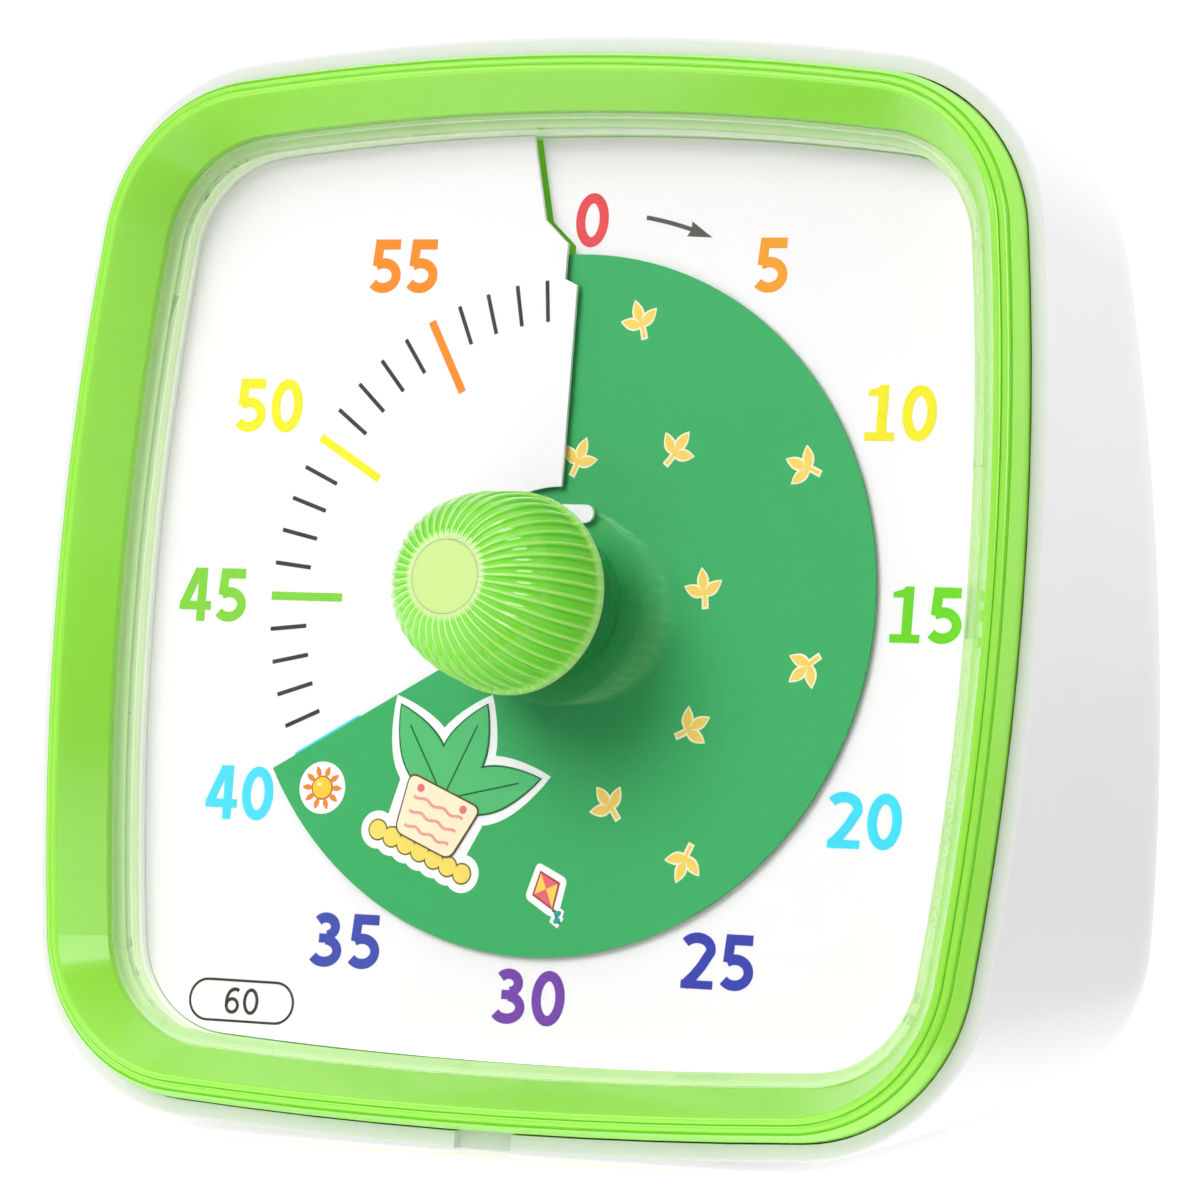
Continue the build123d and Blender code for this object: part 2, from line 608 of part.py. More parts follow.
with BuildPart(dial_plane) as dial_plate:
    dial_sweep = 360 + TONGUE_SWEEP - sheet_start
    add(helical_sheet(HUB_RADIUS, sheet_reach, DIAL_SHEET, sheet_start, dial_sweep, dial_start_level))
    with BuildSketch(dial_plane.offset(CARRIER_FLOOR_LEVEL)):
        squircle(dial_inset)
    extrude(amount=DIAL_PITCH - CARRIER_FLOOR_LEVEL, mode=Mode.INTERSECT)
    # Posts around the edge stand on the carrier's floor and end inside the sheet.
    for post in range(DIAL_POSTS):
        clockwise = 360 * (post + 0.5) / DIAL_POSTS
        post_place = Vector(0, DIAL_POST_CIRCLE).rotate(Axis.Z, -clockwise)
        post_top = dial_start_level + DIAL_PITCH * clockwise / 360 - DIAL_SHEET / 2
        post_length = post_top - CARRIER_FLOOR_LEVEL
        add_circles([(post_place.X, post_place.Y)], DIAL_POST_RADIUS, post_top, post_length)
    # The upper edge of the slit, and the lower one.
    with BuildSketch(dial_plane):
        Polygon(*beside_slit(0, TONGUE_SWEEP + CUT_MARGIN), align=None)
    extrude(amount=DIAL_PITCH, mode=Mode.SUBTRACT)
    with BuildSketch(dial_plane):
        Polygon(*beside_slit(SLIT_GAP, sheet_start - CUT_MARGIN), align=None)
    extrude(amount=CARRIER_FLOOR_LEVEL, mode=Mode.SUBTRACT)
    # The hole around the hub, with the tongue left standing in the upper sheet.
    with BuildSketch(dial_plane.offset(CARRIER_FLOOR_LEVEL)):
        Circle(DIAL_HOLE_RADIUS)
        with Locations((TONGUE_REACH - DIAL_HOLE_RADIUS, TONGUE_Y)):
            SlotOverall(2 * DIAL_HOLE_RADIUS, TONGUE_HEIGHT, mode=Mode.SUBTRACT)
    extrude(amount=DIAL_PITCH - CARRIER_FLOOR_LEVEL, mode=Mode.SUBTRACT)
    with BuildSketch(dial_plane.offset(CARRIER_FLOOR_LEVEL)):
        with Locations((0, TONGUE_Y)):
            Rectangle(2 * TONGUE_REACH + TONGUE_HEIGHT, 2 * TONGUE_HEIGHT)
    extrude(amount=-CARRIER_FLOOR_LEVEL, mode=Mode.SUBTRACT)
dial_plate.part.label = "dial_plate"
export_step(dial_plate.part, "parts/dial_plate.step")

with BuildPart(dial_plane) as countdown_disc:
    disc_trail = DISC_LEAD - DISC_SWEEP
    add(helical_sheet(HUB_RADIUS, DISC_RADIUS, DISC_SHEET, disc_trail, DISC_SWEEP, disc_start_level))
countdown_disc.part.label = "countdown_disc"
export_step(countdown_disc.part, "parts/countdown_disc.step")


def flat_shaft(clearance):
    """Add the shaft's section to the open sketch: a circle with one flat side."""
    reach = SHAFT_RADIUS + clearance
    Circle(reach)
    with Locations((SHAFT_FLAT + clearance, 0)):
        Rectangle(reach, 2 * reach, align=(Align.MIN, Align.CENTER), mode=Mode.SUBTRACT)


with BuildPart() as disc_hub:
    with BuildSketch(dial_plane.offset(HUB_BOTTOM_LEVEL)):
        Circle(HUB_RADIUS)
    extrude(amount=HUB_TOP_LEVEL - HUB_BOTTOM_LEVEL)
    with BuildSketch(dial_plane.offset(HUB_BOTTOM_LEVEL)):
        flat_shaft(RUNNING)
    extrude(amount=HUB_TOP_LEVEL - HUB_BOTTOM_LEVEL, mode=Mode.SUBTRACT)
    with BuildSketch(dial_plane.offset(HUB_TOP_LEVEL)):
        window_arc = CenterArc((0, 0), WINDOW_RADIUS, 90 - WINDOW_TO, WINDOW_TO - WINDOW_FROM)
        SlotArc(window_arc, WINDOW_WIDTH)
    extrude(amount=-WINDOW_WIDTH, mode=Mode.SUBTRACT)
disc_hub.part.label = "disc_hub"
export_step(disc_hub.part, "parts/disc_hub.step")

# ============================ Shaft and knob ==========================================
shaft_foot_level = main_layer_level - WHEEL_THICKNESS
flat_foot_level = carrier_back_level + BUSHING_RISE
cap_edge = CAP_RADIUS + GAP

with BuildPart() as main_shaft:
    with BuildSketch(dial_plane.offset(shaft_foot_level)):
        Circle(SHAFT_RADIUS)
    extrude(amount=flat_foot_level - shaft_foot_level)
    with BuildSketch(dial_plane.offset(flat_foot_level)):
        flat_shaft(0)
    extrude(amount=shaft_top_level - flat_foot_level)
    add_circles([main_place], PIVOT_RADIUS, shaft_foot_level, shaft_foot_level - movement_floor_level - GAP)
main_shaft.part.label = "main_shaft"
export_step(main_shaft.part, "parts/main_shaft.step")

knob_rim_level = KNOB_BOTTOM_LEVEL + KNOB_RIM_HEIGHT
with BuildPart() as flute_cutter:
    # One flute, along the dome's outline from the cap down to the rim.
    with BuildLine() as flute_path:
        EllipticalCenterArc(
            (cap_edge, KNOB_SHOULDER_LEVEL),
            KNOB_DOME_RADIUS - cap_edge + FLUTE_RADIUS - FLUTE_DEPTH,
            KNOB_TOP_LEVEL - KNOB_SHOULDER_LEVEL + FLUTE_RADIUS - FLUTE_DEPTH_AT_CAP,
            arc_size=90,
        )
        Line(flute_path.line @ 0, flute_path.line @ 0 - Vector(0, KNOB_SHOULDER_LEVEL - knob_rim_level))
    flute_line = axis_section.location * flute_path.line
    with BuildSketch(Plane(flute_line @ 0, z_dir=flute_line % 0)):
        Circle(FLUTE_RADIUS)
    sweep(path=flute_line)

cap_floor_level = KNOB_TOP_LEVEL - CAP_THICKNESS
hollow_radius = KNOB_DOME_RADIUS - KNOB_WALL
hollow_top_level = KNOB_BOTTOM_LEVEL + KNOB_HOLLOW_DEPTH
boss_foot_level = KNOB_BOTTOM_LEVEL - KNOB_BOSS_DROP
with BuildPart() as knob:
    with BuildSketch(axis_section):
        with BuildLine():
            Polyline(
                (0, cap_floor_level),
                (CAP_RADIUS, cap_floor_level),
                (CAP_RADIUS, KNOB_TOP_LEVEL),
                (cap_edge, KNOB_TOP_LEVEL),
            )
            EllipticalCenterArc(
                (cap_edge, KNOB_SHOULDER_LEVEL),
                KNOB_DOME_RADIUS - cap_edge,
                KNOB_TOP_LEVEL - KNOB_SHOULDER_LEVEL,
                arc_size=90,
            )
            Polyline(
                (KNOB_DOME_RADIUS, KNOB_SHOULDER_LEVEL),
                (KNOB_DOME_RADIUS, knob_rim_level),
                (KNOB_RIM_RADIUS, knob_rim_level),
                (KNOB_RIM_RADIUS, KNOB_BOTTOM_LEVEL),
                (hollow_radius, KNOB_BOTTOM_LEVEL),
                (hollow_radius, hollow_top_level),
                (KNOB_BOSS_RADIUS, hollow_top_level),
                (KNOB_BOSS_RADIUS, boss_foot_level),
                (0, boss_foot_level),
                (0, cap_floor_level),
            )
        make_face()
    revolve(axis=turning_axis)
    with BuildSketch(dial_plane.offset(boss_foot_level)):
        flat_shaft(RUNNING)
    extrude(amount=shaft_top_level + RUNNING - boss_foot_level, mode=Mode.SUBTRACT)
    add(
        [flute_cutter.part.rotate(turning_axis, 360 * flute / FLUTES) for flute in range(FLUTES)],
        mode=Mode.SUBTRACT,
    )
knob.part.label = "knob"
export_step(knob.part, "parts/knob.step")

with BuildPart() as knob_cap:
    add_circles([main_place], CAP_RADIUS - RUNNING, KNOB_TOP_LEVEL, CAP_THICKNESS)
knob_cap.part.label = "knob_cap"
export_step(knob_cap.part, "parts/knob_cap.step")

with BuildPart() as shaft_bushing:
    add_circles([main_place], BUSHING_RADIUS, flat_foot_level, flat_foot_level - movement_inner_level)
    add_circles([main_place], BUSHING_RADIUS + MOVEMENT_WALL, movement_inner_level, MOVEMENT_WALL / 2)
    cut_circles([main_place], SHAFT_RADIUS + RUNNING, flat_foot_level, BUSHING_RISE + MOVEMENT_DEPTH)
shaft_bushing.part.label = "shaft_bushing"
export_step(shaft_bushing.part, "parts/shaft_bushing.step")

# ============================ Movement ================================================
def movement_outline(inset):
    """Add the movement's square outline, shrunk by inset, to the open sketch."""
    side = 2 * (MOVEMENT_HALF - inset)
    RectangleRounded(side, side, MOVEMENT_CORNER - inset)


with BuildPart() as movement_front:
    with BuildSketch(dial_plane.offset(carrier_back_level)):
        movement_outline(0)
    extrude(amount=-MOVEMENT_FRONT)
    with BuildSketch(dial_plane.offset(movement_inner_level)):
        movement_outline(MOVEMENT_WALL)
    extrude(amount=-MOVEMENT_FRONT, mode=Mode.SUBTRACT)
    with BuildSketch(dial_plane.offset(ear_level)):
        with Locations(*ear_places):
            Circle(EAR_RADIUS)
        for x, _ in ear_places:
            with Locations(((MOVEMENT_HALF - MOVEMENT_WALL) * (1 if x > 0 else -1), 0)):
                Rectangle(
                    EAR_REACH - MOVEMENT_HALF + MOVEMENT_WALL,
                    2 * EAR_RADIUS,
                    align=(Align.MIN if x > 0 else Align.MAX, Align.CENTER),
                )
    extrude(amount=-EAR_THICKNESS)
    cut_circles(ear_places, SMALL_SCREW_RADIUS + GAP, ear_level, EAR_THICKNESS)
    cut_circles([main_place], BUSHING_RADIUS, carrier_back_level, MOVEMENT_WALL)
movement_front.part.label = "movement_front"
export_step(movement_front.part, "parts/movement_front.step")

with BuildPart() as movement_rear:
    with BuildSketch(dial_plane.offset(movement_split_level)):
        movement_outline(0)
    extrude(amount=movement_back_level - movement_split_level)
    with BuildSketch(dial_plane.offset(movement_split_level)):
        movement_outline(MOVEMENT_WALL)
    extrude(amount=movement_floor_level - movement_split_level, mode=Mode.SUBTRACT)
    bearing_level = movement_floor_level + BEARING_HEIGHT
    add_circles([main_place], BEARING_RADIUS, bearing_level, BEARING_HEIGHT)
    cut_circles([main_place], PIVOT_RADIUS + RUNNING, bearing_level, BEARING_HEIGHT)
    half_bar = STATOR_BAR / 2
    stator_feet = [(STATOR_LEFT + half_bar, y) for y in (STATOR_TOP - half_bar, STATOR_BOTTOM + half_bar)]
    stator_back_level = stator_level - STATOR_THICKNESS
    add_circles(stator_feet, half_bar, stator_back_level, stator_back_level - movement_floor_level)
    add_circles(board_screw_places, STANDOFF_RADIUS, movement_back_level, BOARD_STANDOFF)
    board_screw_room = MOVEMENT_WALL + BOARD_STANDOFF
    cut_circles(board_screw_places, SMALL_SCREW_RADIUS + RUNNING, movement_floor_level, board_screw_room)
movement_rear.part.label = "movement_rear"
export_step(movement_rear.part, "parts/movement_rear.step")


def mesh_phase(direction, teeth, phase, next_teeth):
    """Angle of the next gear's first tooth, so that it meshes with a gear in a direction."""
    return direction + 180 + 180 / next_teeth - (phase - direction) * teeth / next_teeth


def gear_teeth(teeth, phase):
    """Add a spur gear's section to the open sketch, with its first tooth at angle phase."""
    pitch_radius = GEAR_MODULE * teeth / 2
    quarter = 90 / teeth
    tooth = [
        (pitch_radius - DEDENDUM * GEAR_MODULE, ROOT_WIDTH * quarter),
        (pitch_radius, PITCH_WIDTH * quarter),
        (pitch_radius + ADDENDUM * GEAR_MODULE, TIP_WIDTH * quarter),
    ]
    points = []
    for number in range(teeth):
        middle = phase + 360 * number / teeth
        for radius, half_angle in tooth:
            points.append(Vector(radius, 0).rotate(Axis.Z, middle - half_angle))
        for radius, half_angle in reversed(tooth):
            points.append(Vector(radius, 0).rotate(Axis.Z, middle + half_angle))
    Polygon(*points, align=None)


def add_gear(place, teeth, phase, level, depth):
    """Add a spur gear to the open part, from a level back by depth."""
    with BuildSketch(dial_plane.offset(level)) as section:
        with Locations(place):
            gear_teeth(teeth, phase)
    extrude(section.sketch, amount=-depth)


second_phase = mesh_phase(SECOND_DIRECTION, WHEEL_TEETH, 0, PINION_TEETH)
third_phase = mesh_phase(THIRD_DIRECTION, WHEEL_TEETH, 0, PINION_TEETH)
rotor_phase = mesh_phase(ROTOR_DIRECTION, WHEEL_TEETH, 0, PINION_TEETH)
pinion_margin = (LAYER_STEP - WHEEL_THICKNESS) / 4
pinion_length = LAYER_STEP + pinion_margin
second_top_level = main_layer_level + pinion_margin
third_top_level = second_layer_level + pinion_margin
rotor_top_level = third_layer_level + pinion_margin

with BuildPart() as main_wheel:
    add_gear(main_place, WHEEL_TEETH, 0, main_layer_level, WHEEL_THICKNESS)
    cut_circles([main_place], SHAFT_RADIUS, main_layer_level, WHEEL_THICKNESS)
main_wheel.part.label = "main_wheel"
export_step(main_wheel.part, "parts/main_wheel.step")

with BuildPart() as second_wheel:
    add_gear(second_place, PINION_TEETH, second_phase, second_top_level, pinion_length)
    add_gear(second_place, WHEEL_TEETH, 0, second_layer_level, WHEEL_THICKNESS)
    cut_circles([second_place], ARBOR_RADIUS + RUNNING, second_top_level, MOVEMENT_DEPTH)
second_wheel.part.label = "second_wheel"
export_step(second_wheel.part, "parts/second_wheel.step")

with BuildPart() as third_wheel:
    add_gear(third_place, PINION_TEETH, third_phase, third_top_level, pinion_length)
    add_gear(third_place, WHEEL_TEETH, 0, third_layer_level, WHEEL_THICKNESS)
    cut_circles([third_place], ARBOR_RADIUS + RUNNING, third_top_level, MOVEMENT_DEPTH)
third_wheel.part.label = "third_wheel"
export_step(third_wheel.part, "parts/third_wheel.step")

magnet_level = stator_level - STATOR_THICKNESS / 2 + MAGNET_HEIGHT / 2
with BuildPart() as motor_rotor:
    add_gear(rotor_place, PINION_TEETH, rotor_phase, rotor_top_level, rotor_top_level - magnet_level)
    add_circles([rotor_place], MAGNET_RADIUS, magnet_level, MAGNET_HEIGHT)
    cut_circles([rotor_place], ARBOR_RADIUS + RUNNING, rotor_top_level, MOVEMENT_DEPTH)
motor_rotor.part.label = "motor_rotor"
export_step(motor_rotor.part, "parts/motor_rotor.step")

with BuildPart() as gear_arbors:
    # The second wheel's arbor stands on the front half, the other two on the rear half.
    second_foot_level = second_layer_level - WHEEL_THICKNESS - pinion_margin
    add_circles([second_place], ARBOR_RADIUS, movement_inner_level, movement_inner_level - second_foot_level)
    for place, wheel_top in ((third_place, third_top_level), (rotor_place, rotor_top_level)):
        arbor_top = wheel_top + pinion_margin
        add_circles([place], ARBOR_RADIUS, arbor_top, arbor_top - movement_floor_level)
gear_arbors.part.label = "gear_arbors"
export_step(gear_arbors.part, "parts/gear_arbors.step")

stator_bar_y = STATOR_TOP - STATOR_BAR / 2
stator_middle_x = STATOR_LEFT + STATOR_WIDTH / 2
with BuildPart() as motor_stator:
    with BuildSketch(dial_plane.offset(stator_level)):
        with Locations((STATOR_LEFT, STATOR_BOTTOM)):
            Rectangle(STATOR_WIDTH, STATOR_TOP - STATOR_BOTTOM, align=(Align.MIN, Align.MIN))
        with Locations((stator_middle_x, STATOR_TOP - STATOR_BAR)):
            Rectangle(
                STATOR_WIDTH - 2 * STATOR_BAR,
                STATOR_TOP - STATOR_BAR - rotor_place[1] - 2 * MAGNET_RADIUS,
                align=(Align.CENTER, Align.MAX),
                mode=Mode.SUBTRACT,
            )
        with Locations(rotor_place):
            Circle(MAGNET_RADIUS + STATOR_AIR_GAP, mode=Mode.SUBTRACT)
    extrude(amount=-STATOR_THICKNESS)
motor_stator.part.label = "motor_stator"
export_step(motor_stator.part, "parts/motor_stator.step")

coil_run = STATOR_WIDTH - 2 * STATOR_BAR - 2 * GAP
coil_plane = Plane(
    origin=dial_plane.from_local_coords(
        (stator_middle_x - coil_run / 2, stator_bar_y, stator_level - STATOR_THICKNESS / 2)
    ),
    x_dir=dial_plane.y_dir,
    z_dir=dial_plane.x_dir,
)
with BuildPart() as motor_coil:
    with BuildSketch(coil_plane):
        Circle(STATOR_BAR / 2 + COIL_WALL / 2)
        Rectangle(STATOR_BAR + 2 * RUNNING, STATOR_THICKNESS + 2 * RUNNING, mode=Mode.SUBTRACT)
    extrude(amount=coil_run)
motor_coil.part.label = "motor_coil"
export_step(motor_coil.part, "parts/motor_coil.step")

# ============================ Circuit board ===========================================
def add_block(x, y, width, height, level, depth):
    """Add a block to the open part, from a level back by depth."""
    with BuildSketch(dial_plane.offset(level)) as section:
        with Locations((x, y)):
            Rectangle(width, height)
    extrude(section.sketch, amount=-depth)


board_y = BOARD_HEIGHT / 2 - BOARD_FOOT
with BuildPart() as circuit_board:
    add_block(0, board_y, BOARD_WIDTH, BOARD_HEIGHT, board_level, BOARD_THICKNESS)
    cut_circles(board_screw_places, SMALL_SCREW_RADIUS + GAP, board_level, BOARD_THICKNESS)
circuit_board.part.label = "circuit_board"
export_step(circuit_board.part, "parts/circuit_board.step")

board_back_level = board_level - BOARD_THICKNESS
with BuildPart() as controller_chip:
    add_block(0, board_y, CHIP_SIZE, CHIP_SIZE, board_back_level, CHIP_HEIGHT)
controller_chip.part.label = "controller_chip"
export_step(controller_chip.part, "parts/controller_chip.step")

with BuildPart() as quartz_crystal:
    crystal_foot = (BOARD_WIDTH / 4, board_y + CHIP_SIZE / 2, board_back_level - CRYSTAL_RADIUS)
    crystal_plane = Plane(
        origin=dial_plane.from_local_coords(crystal_foot),
        x_dir=dial_plane.x_dir,
        z_dir=dial_plane.y_dir,
    )
    with BuildSketch(crystal_plane):
        Circle(CRYSTAL_RADIUS)
    extrude(amount=CRYSTAL_LENGTH)
quartz_crystal.part.label = "quartz_crystal"
export_step(quartz_crystal.part, "parts/quartz_crystal.step")

# ============================ Battery, contacts and door ==============================
cell_plane = Plane(
    origin=rear_plane.from_local_coords((-bay_length / 2 + CONTACT_THICKNESS, BAY_Y, cell_level)),
    x_dir=rear_plane.y_dir,
    z_dir=rear_plane.x_dir,
)
with BuildPart() as battery_cell:
    with BuildSketch(cell_plane):
        Circle(CELL_BUTTON_RADIUS)
    extrude(amount=CELL_BUTTON_LENGTH)
    with BuildSketch(cell_plane.offset(CELL_BUTTON_LENGTH)):
        Circle(CELL_RADIUS)
    extrude(amount=CELL_LENGTH)
    fillet(battery_cell.edges().filter_by(GeomType.CIRCLE).group_by(SortBy.RADIUS)[-1], CONTACT_THICKNESS)
battery_cell.part.label = "battery_cell"
export_step(battery_cell.part, "parts/battery_cell.step")

with BuildPart() as battery_plate_contact:
    with BuildSketch(cell_plane.offset(-CONTACT_THICKNESS)):
        Rectangle(CONTACT_HEIGHT, CONTACT_HEIGHT)
    extrude(amount=CONTACT_THICKNESS)
battery_plate_contact.part.label = "battery_plate_contact"
export_step(battery_plate_contact.part, "parts/battery_plate_contact.step")

spring_foot_plane = cell_plane.offset(bay_length - 2 * CONTACT_THICKNESS)
spring_length = SPRING_ROOM - CONTACT_THICKNESS - 2 * SPRING_WIRE_RADIUS
with BuildPart() as battery_spring_contact:
    with BuildSketch(spring_foot_plane):
        Rectangle(CONTACT_HEIGHT, CONTACT_HEIGHT)
    extrude(amount=CONTACT_THICKNESS)
    with BuildLine() as spring_path:
        Helix(spring_length / SPRING_TURNS, spring_length, SPRING_RADIUS)
    spring_line = spring_foot_plane.offset(-spring_length).location * spring_path.line
    with BuildSketch(Plane(spring_line @ 0, z_dir=spring_line % 0)):
        Circle(SPRING_WIRE_RADIUS)
    sweep(path=spring_line, is_frenet=True)
battery_spring_contact.part.label = "battery_spring_contact"
export_step(battery_spring_contact.part, "parts/battery_spring_contact.step")

with BuildPart() as battery_door:
    with BuildSketch(rear_plane):
        with Locations((0, BAY_Y)):
            RectangleRounded(door_length - 2 * GAP, door_width - 2 * GAP, DOOR_CORNER - GAP)
    extrude(amount=-DOOR_THICKNESS)
    with BuildSketch(rear_plane.offset(-DOOR_THICKNESS)):
        with Locations((0, BAY_Y + bay_width / 2 - GAP)):
            Rectangle(DOOR_TAB_WIDTH, DOOR_TAB_THICKNESS, align=(Align.CENTER, Align.MAX))
        with Locations((0, BAY_Y - bay_width / 2 + GAP)):
            Rectangle(DOOR_TAB_WIDTH, DOOR_TAB_THICKNESS, align=(Align.CENTER, Align.MIN))
    extrude(amount=-DOOR_TAB_LENGTH)
    with BuildSketch(rear_plane):
        with Locations((0, BAY_Y)):
            with GridLocations(1, FINGER_GROOVE_PITCH, 1, FINGER_GROOVES):
                SlotOverall(DOOR_TAB_WIDTH, FINGER_GROOVE_WIDTH)
    extrude(amount=-FINGER_GROOVE_DEPTH, mode=Mode.SUBTRACT)
battery_door.part.label = "battery_door"
export_step(battery_door.part, "parts/battery_door.step")

# ============================ Sound switch and buzzer =================================
switch_inner = rear_plane.offset(-WALL)
with BuildPart() as sound_switch_slider:
    with BuildSketch(switch_inner.offset(-GAP)):
        with Locations((-SWITCH_X, SWITCH_Y)):
            Rectangle(SLIDER_LENGTH, SLIDER_WIDTH)
    extrude(amount=WALL + GAP + SLIDER_RISE)
    fillet(sound_switch_slider.faces().sort_by(Axis.Y)[-1].edges(), GAP)
    with BuildSketch(switch_inner.offset(-GAP)):
        with Locations((-SWITCH_X, SWITCH_Y)):
            Rectangle(SLIDER_PLATE_LENGTH, SLIDER_PLATE_WIDTH)
    extrude(amount=-SLIDER_PLATE_THICKNESS)
sound_switch_slider.part.label = "sound_switch_slider"
export_step(sound_switch_slider.part, "parts/sound_switch_slider.step")

with BuildPart() as sound_switch_body:
    with BuildSketch(switch_inner):
        with Locations((-SWITCH_X, SWITCH_Y)):
            Rectangle(SWITCH_BODY_LENGTH, SWITCH_BODY_WIDTH)
    extrude(amount=-SWITCH_BODY_DEPTH)
    with BuildSketch(switch_inner):
        with Locations((-SWITCH_X, SWITCH_Y)):
            Rectangle(SLIDER_PLATE_LENGTH + 2 * SWITCH_TRAVEL + 2 * GAP, SLIDER_PLATE_WIDTH + 2 * GAP)
    extrude(amount=-(SLIDER_PLATE_THICKNESS + 2 * GAP), mode=Mode.SUBTRACT)
sound_switch_body.part.label = "sound_switch_body"
export_step(sound_switch_body.part, "parts/sound_switch_body.step")

with BuildPart() as buzzer:
    with BuildSketch(switch_inner):
        with Locations((-BUZZER_X, BUZZER_Y)):
            Circle(BUZZER_RADIUS)
    extrude(amount=-BUZZER_THICKNESS)
    fillet(buzzer.edges().sort_by(Axis.Y)[0], 2 * GAP)
buzzer.part.label = "buzzer"
export_step(buzzer.part, "parts/buzzer.step")

# ============================ Feet and screws =========================================
foot_names = ("foot_front_left", "foot_front_right", "foot_rear_left", "foot_rear_right")
foot_places = [(x, dial_y + y) for y in (FOOT_FRONT_Y, FOOT_REAR_Y) for x in (-FOOT_X, FOOT_X)]
for foot_name, foot_place in zip(foot_names, foot_places):
    with BuildPart() as foot:
        with BuildSketch():
            with Locations(foot_place):
                Circle(FOOT_RADIUS)
        extrude(amount=FOOT_RADIUS)
        fillet(foot.edges().sort_by(Axis.Z)[0], GAP)
        add(case_body(-RUNNING), mode=Mode.SUBTRACT)
    foot.part.label = foot_name
    export_step(foot.part, f"parts/{foot_name}.step")

with BuildPart(dial_plane.offset(TUBE_TOP_LEVEL - TUBE_SEAT_DEPTH)) as case_screws:
    with Locations(*tube_places):
        add(screw(CASE_SCREW_RADIUS, CASE_SCREW_LENGTH, CASE_HEAD_RADIUS, CASE_HEAD_HEIGHT))
case_screws.part.label = "case_screws"
export_step(case_screws.part, "parts/case_screws.step")

with BuildPart(dial_plane.offset(carrier_back_level)) as bezel_screws:
    with Locations(*corner_places):
        add(small_screw())
bezel_screws.part.label = "bezel_screws"
export_step(bezel_screws.part, "parts/bezel_screws.step")

with BuildPart(dial_plane.offset(ear_level - EAR_THICKNESS)) as movement_screws:
    with Locations(*ear_places):
        add(small_screw())
movement_screws.part.label = "movement_screws"
export_step(movement_screws.part, "parts/movement_screws.step")

with BuildPart(dial_plane.offset(board_back_level)) as board_screws:
    with Locations(*board_screw_places):
        add(small_screw())
board_screws.part.label = "board_screws"
export_step(board_screws.part, "parts/board_screws.step")
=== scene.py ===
"""Looks of a visual countdown timer: prints, stickers, plastics, glass and a plain studio."""

import json
import logging
from dataclasses import dataclass, field
from enum import Enum
from math import atan2, cos, degrees, pi, radians, sin, tau

import bmesh
import bpy
from mathutils import Matrix, Vector
from mathutils.geometry import tessellate_polygon


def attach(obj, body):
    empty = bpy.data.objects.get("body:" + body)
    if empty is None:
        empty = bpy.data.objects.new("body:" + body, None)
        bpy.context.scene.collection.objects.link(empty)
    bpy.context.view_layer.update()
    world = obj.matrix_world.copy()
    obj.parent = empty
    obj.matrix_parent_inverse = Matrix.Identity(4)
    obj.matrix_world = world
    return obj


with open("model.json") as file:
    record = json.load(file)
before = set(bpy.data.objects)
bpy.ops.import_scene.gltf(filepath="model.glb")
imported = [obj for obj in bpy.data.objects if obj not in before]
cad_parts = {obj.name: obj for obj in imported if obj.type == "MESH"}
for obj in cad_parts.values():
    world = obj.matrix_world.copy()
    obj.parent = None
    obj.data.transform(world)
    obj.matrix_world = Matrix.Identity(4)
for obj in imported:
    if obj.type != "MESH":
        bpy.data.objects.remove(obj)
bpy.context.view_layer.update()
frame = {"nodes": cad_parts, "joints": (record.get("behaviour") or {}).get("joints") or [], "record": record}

log = logging.getLogger("timer")

MM = 0.001
SHEET_RISE = 1.8  # rise of the dial's and the disc's helix in one turn, mm
INK_THICKNESS = 0.03
INK_LIFT = 0.012  # gap under a print, so that it never shares a face with its sheet
LEAST_MITRE = 0.35  # least cosine counted at a line's corner, so that a sharp one grows no spike

Point = tuple[float, float]
Place = tuple[float, float, float]
Outline = list[Point]


# ------------------------------------------------------------------ small tools


def linear(hex_colour: str) -> tuple[float, float, float, float]:
    """Turn an sRGB hex colour into Blender's linear one.

    Args:
        hex_colour: six hex digits after a hash, such as "#8FDE44".

    Returns:
        Red, green, blue and an alpha of one.
    """
    levels = [int(hex_colour[i : i + 2], 16) / 255 for i in (1, 3, 5)]
    shades = [v / 12.92 if v <= 0.04045 else ((v + 0.055) / 1.055) ** 2.4 for v in levels]
    return (shades[0], shades[1], shades[2], 1.0)


def add_node(
    tree: bpy.types.NodeTree, kind: str, inputs: dict | None = None, **settings: object
) -> bpy.types.Node:
    """Add a node, set it up and link it.

    Args:
        tree: the tree that gets the node.
        kind: Blender's name of the node's type.
        inputs: what feeds each socket, by its name or number: a constant, a socket, or a node's first output.
        settings: the node's own properties.

    Returns:
        The new node.
    """
    node = tree.nodes.new(kind)
    for name, value in settings.items():
        setattr(node, name, value)
    for key, value in (inputs or {}).items():
        if isinstance(value, bpy.types.Node):
            value = value.outputs[0]
        if isinstance(value, bpy.types.NodeSocket):
            tree.links.new(value, node.inputs[key])
        else:
            node.inputs[key].default_value = value
    return node


# ------------------------------------------------------------------ finishes


def new_material(name: str) -> tuple[bpy.types.Material, bpy.types.NodeTree, bpy.types.Node]:
    """Start a material with one Principled shader.

    Args:
        name: the real material's name.

    Returns:
        The material, its tree and its shader.
    """
    made = bpy.data.materials.new(name)
    made.use_nodes = True
    return made, made.node_tree, made.node_tree.nodes["Principled BSDF"]


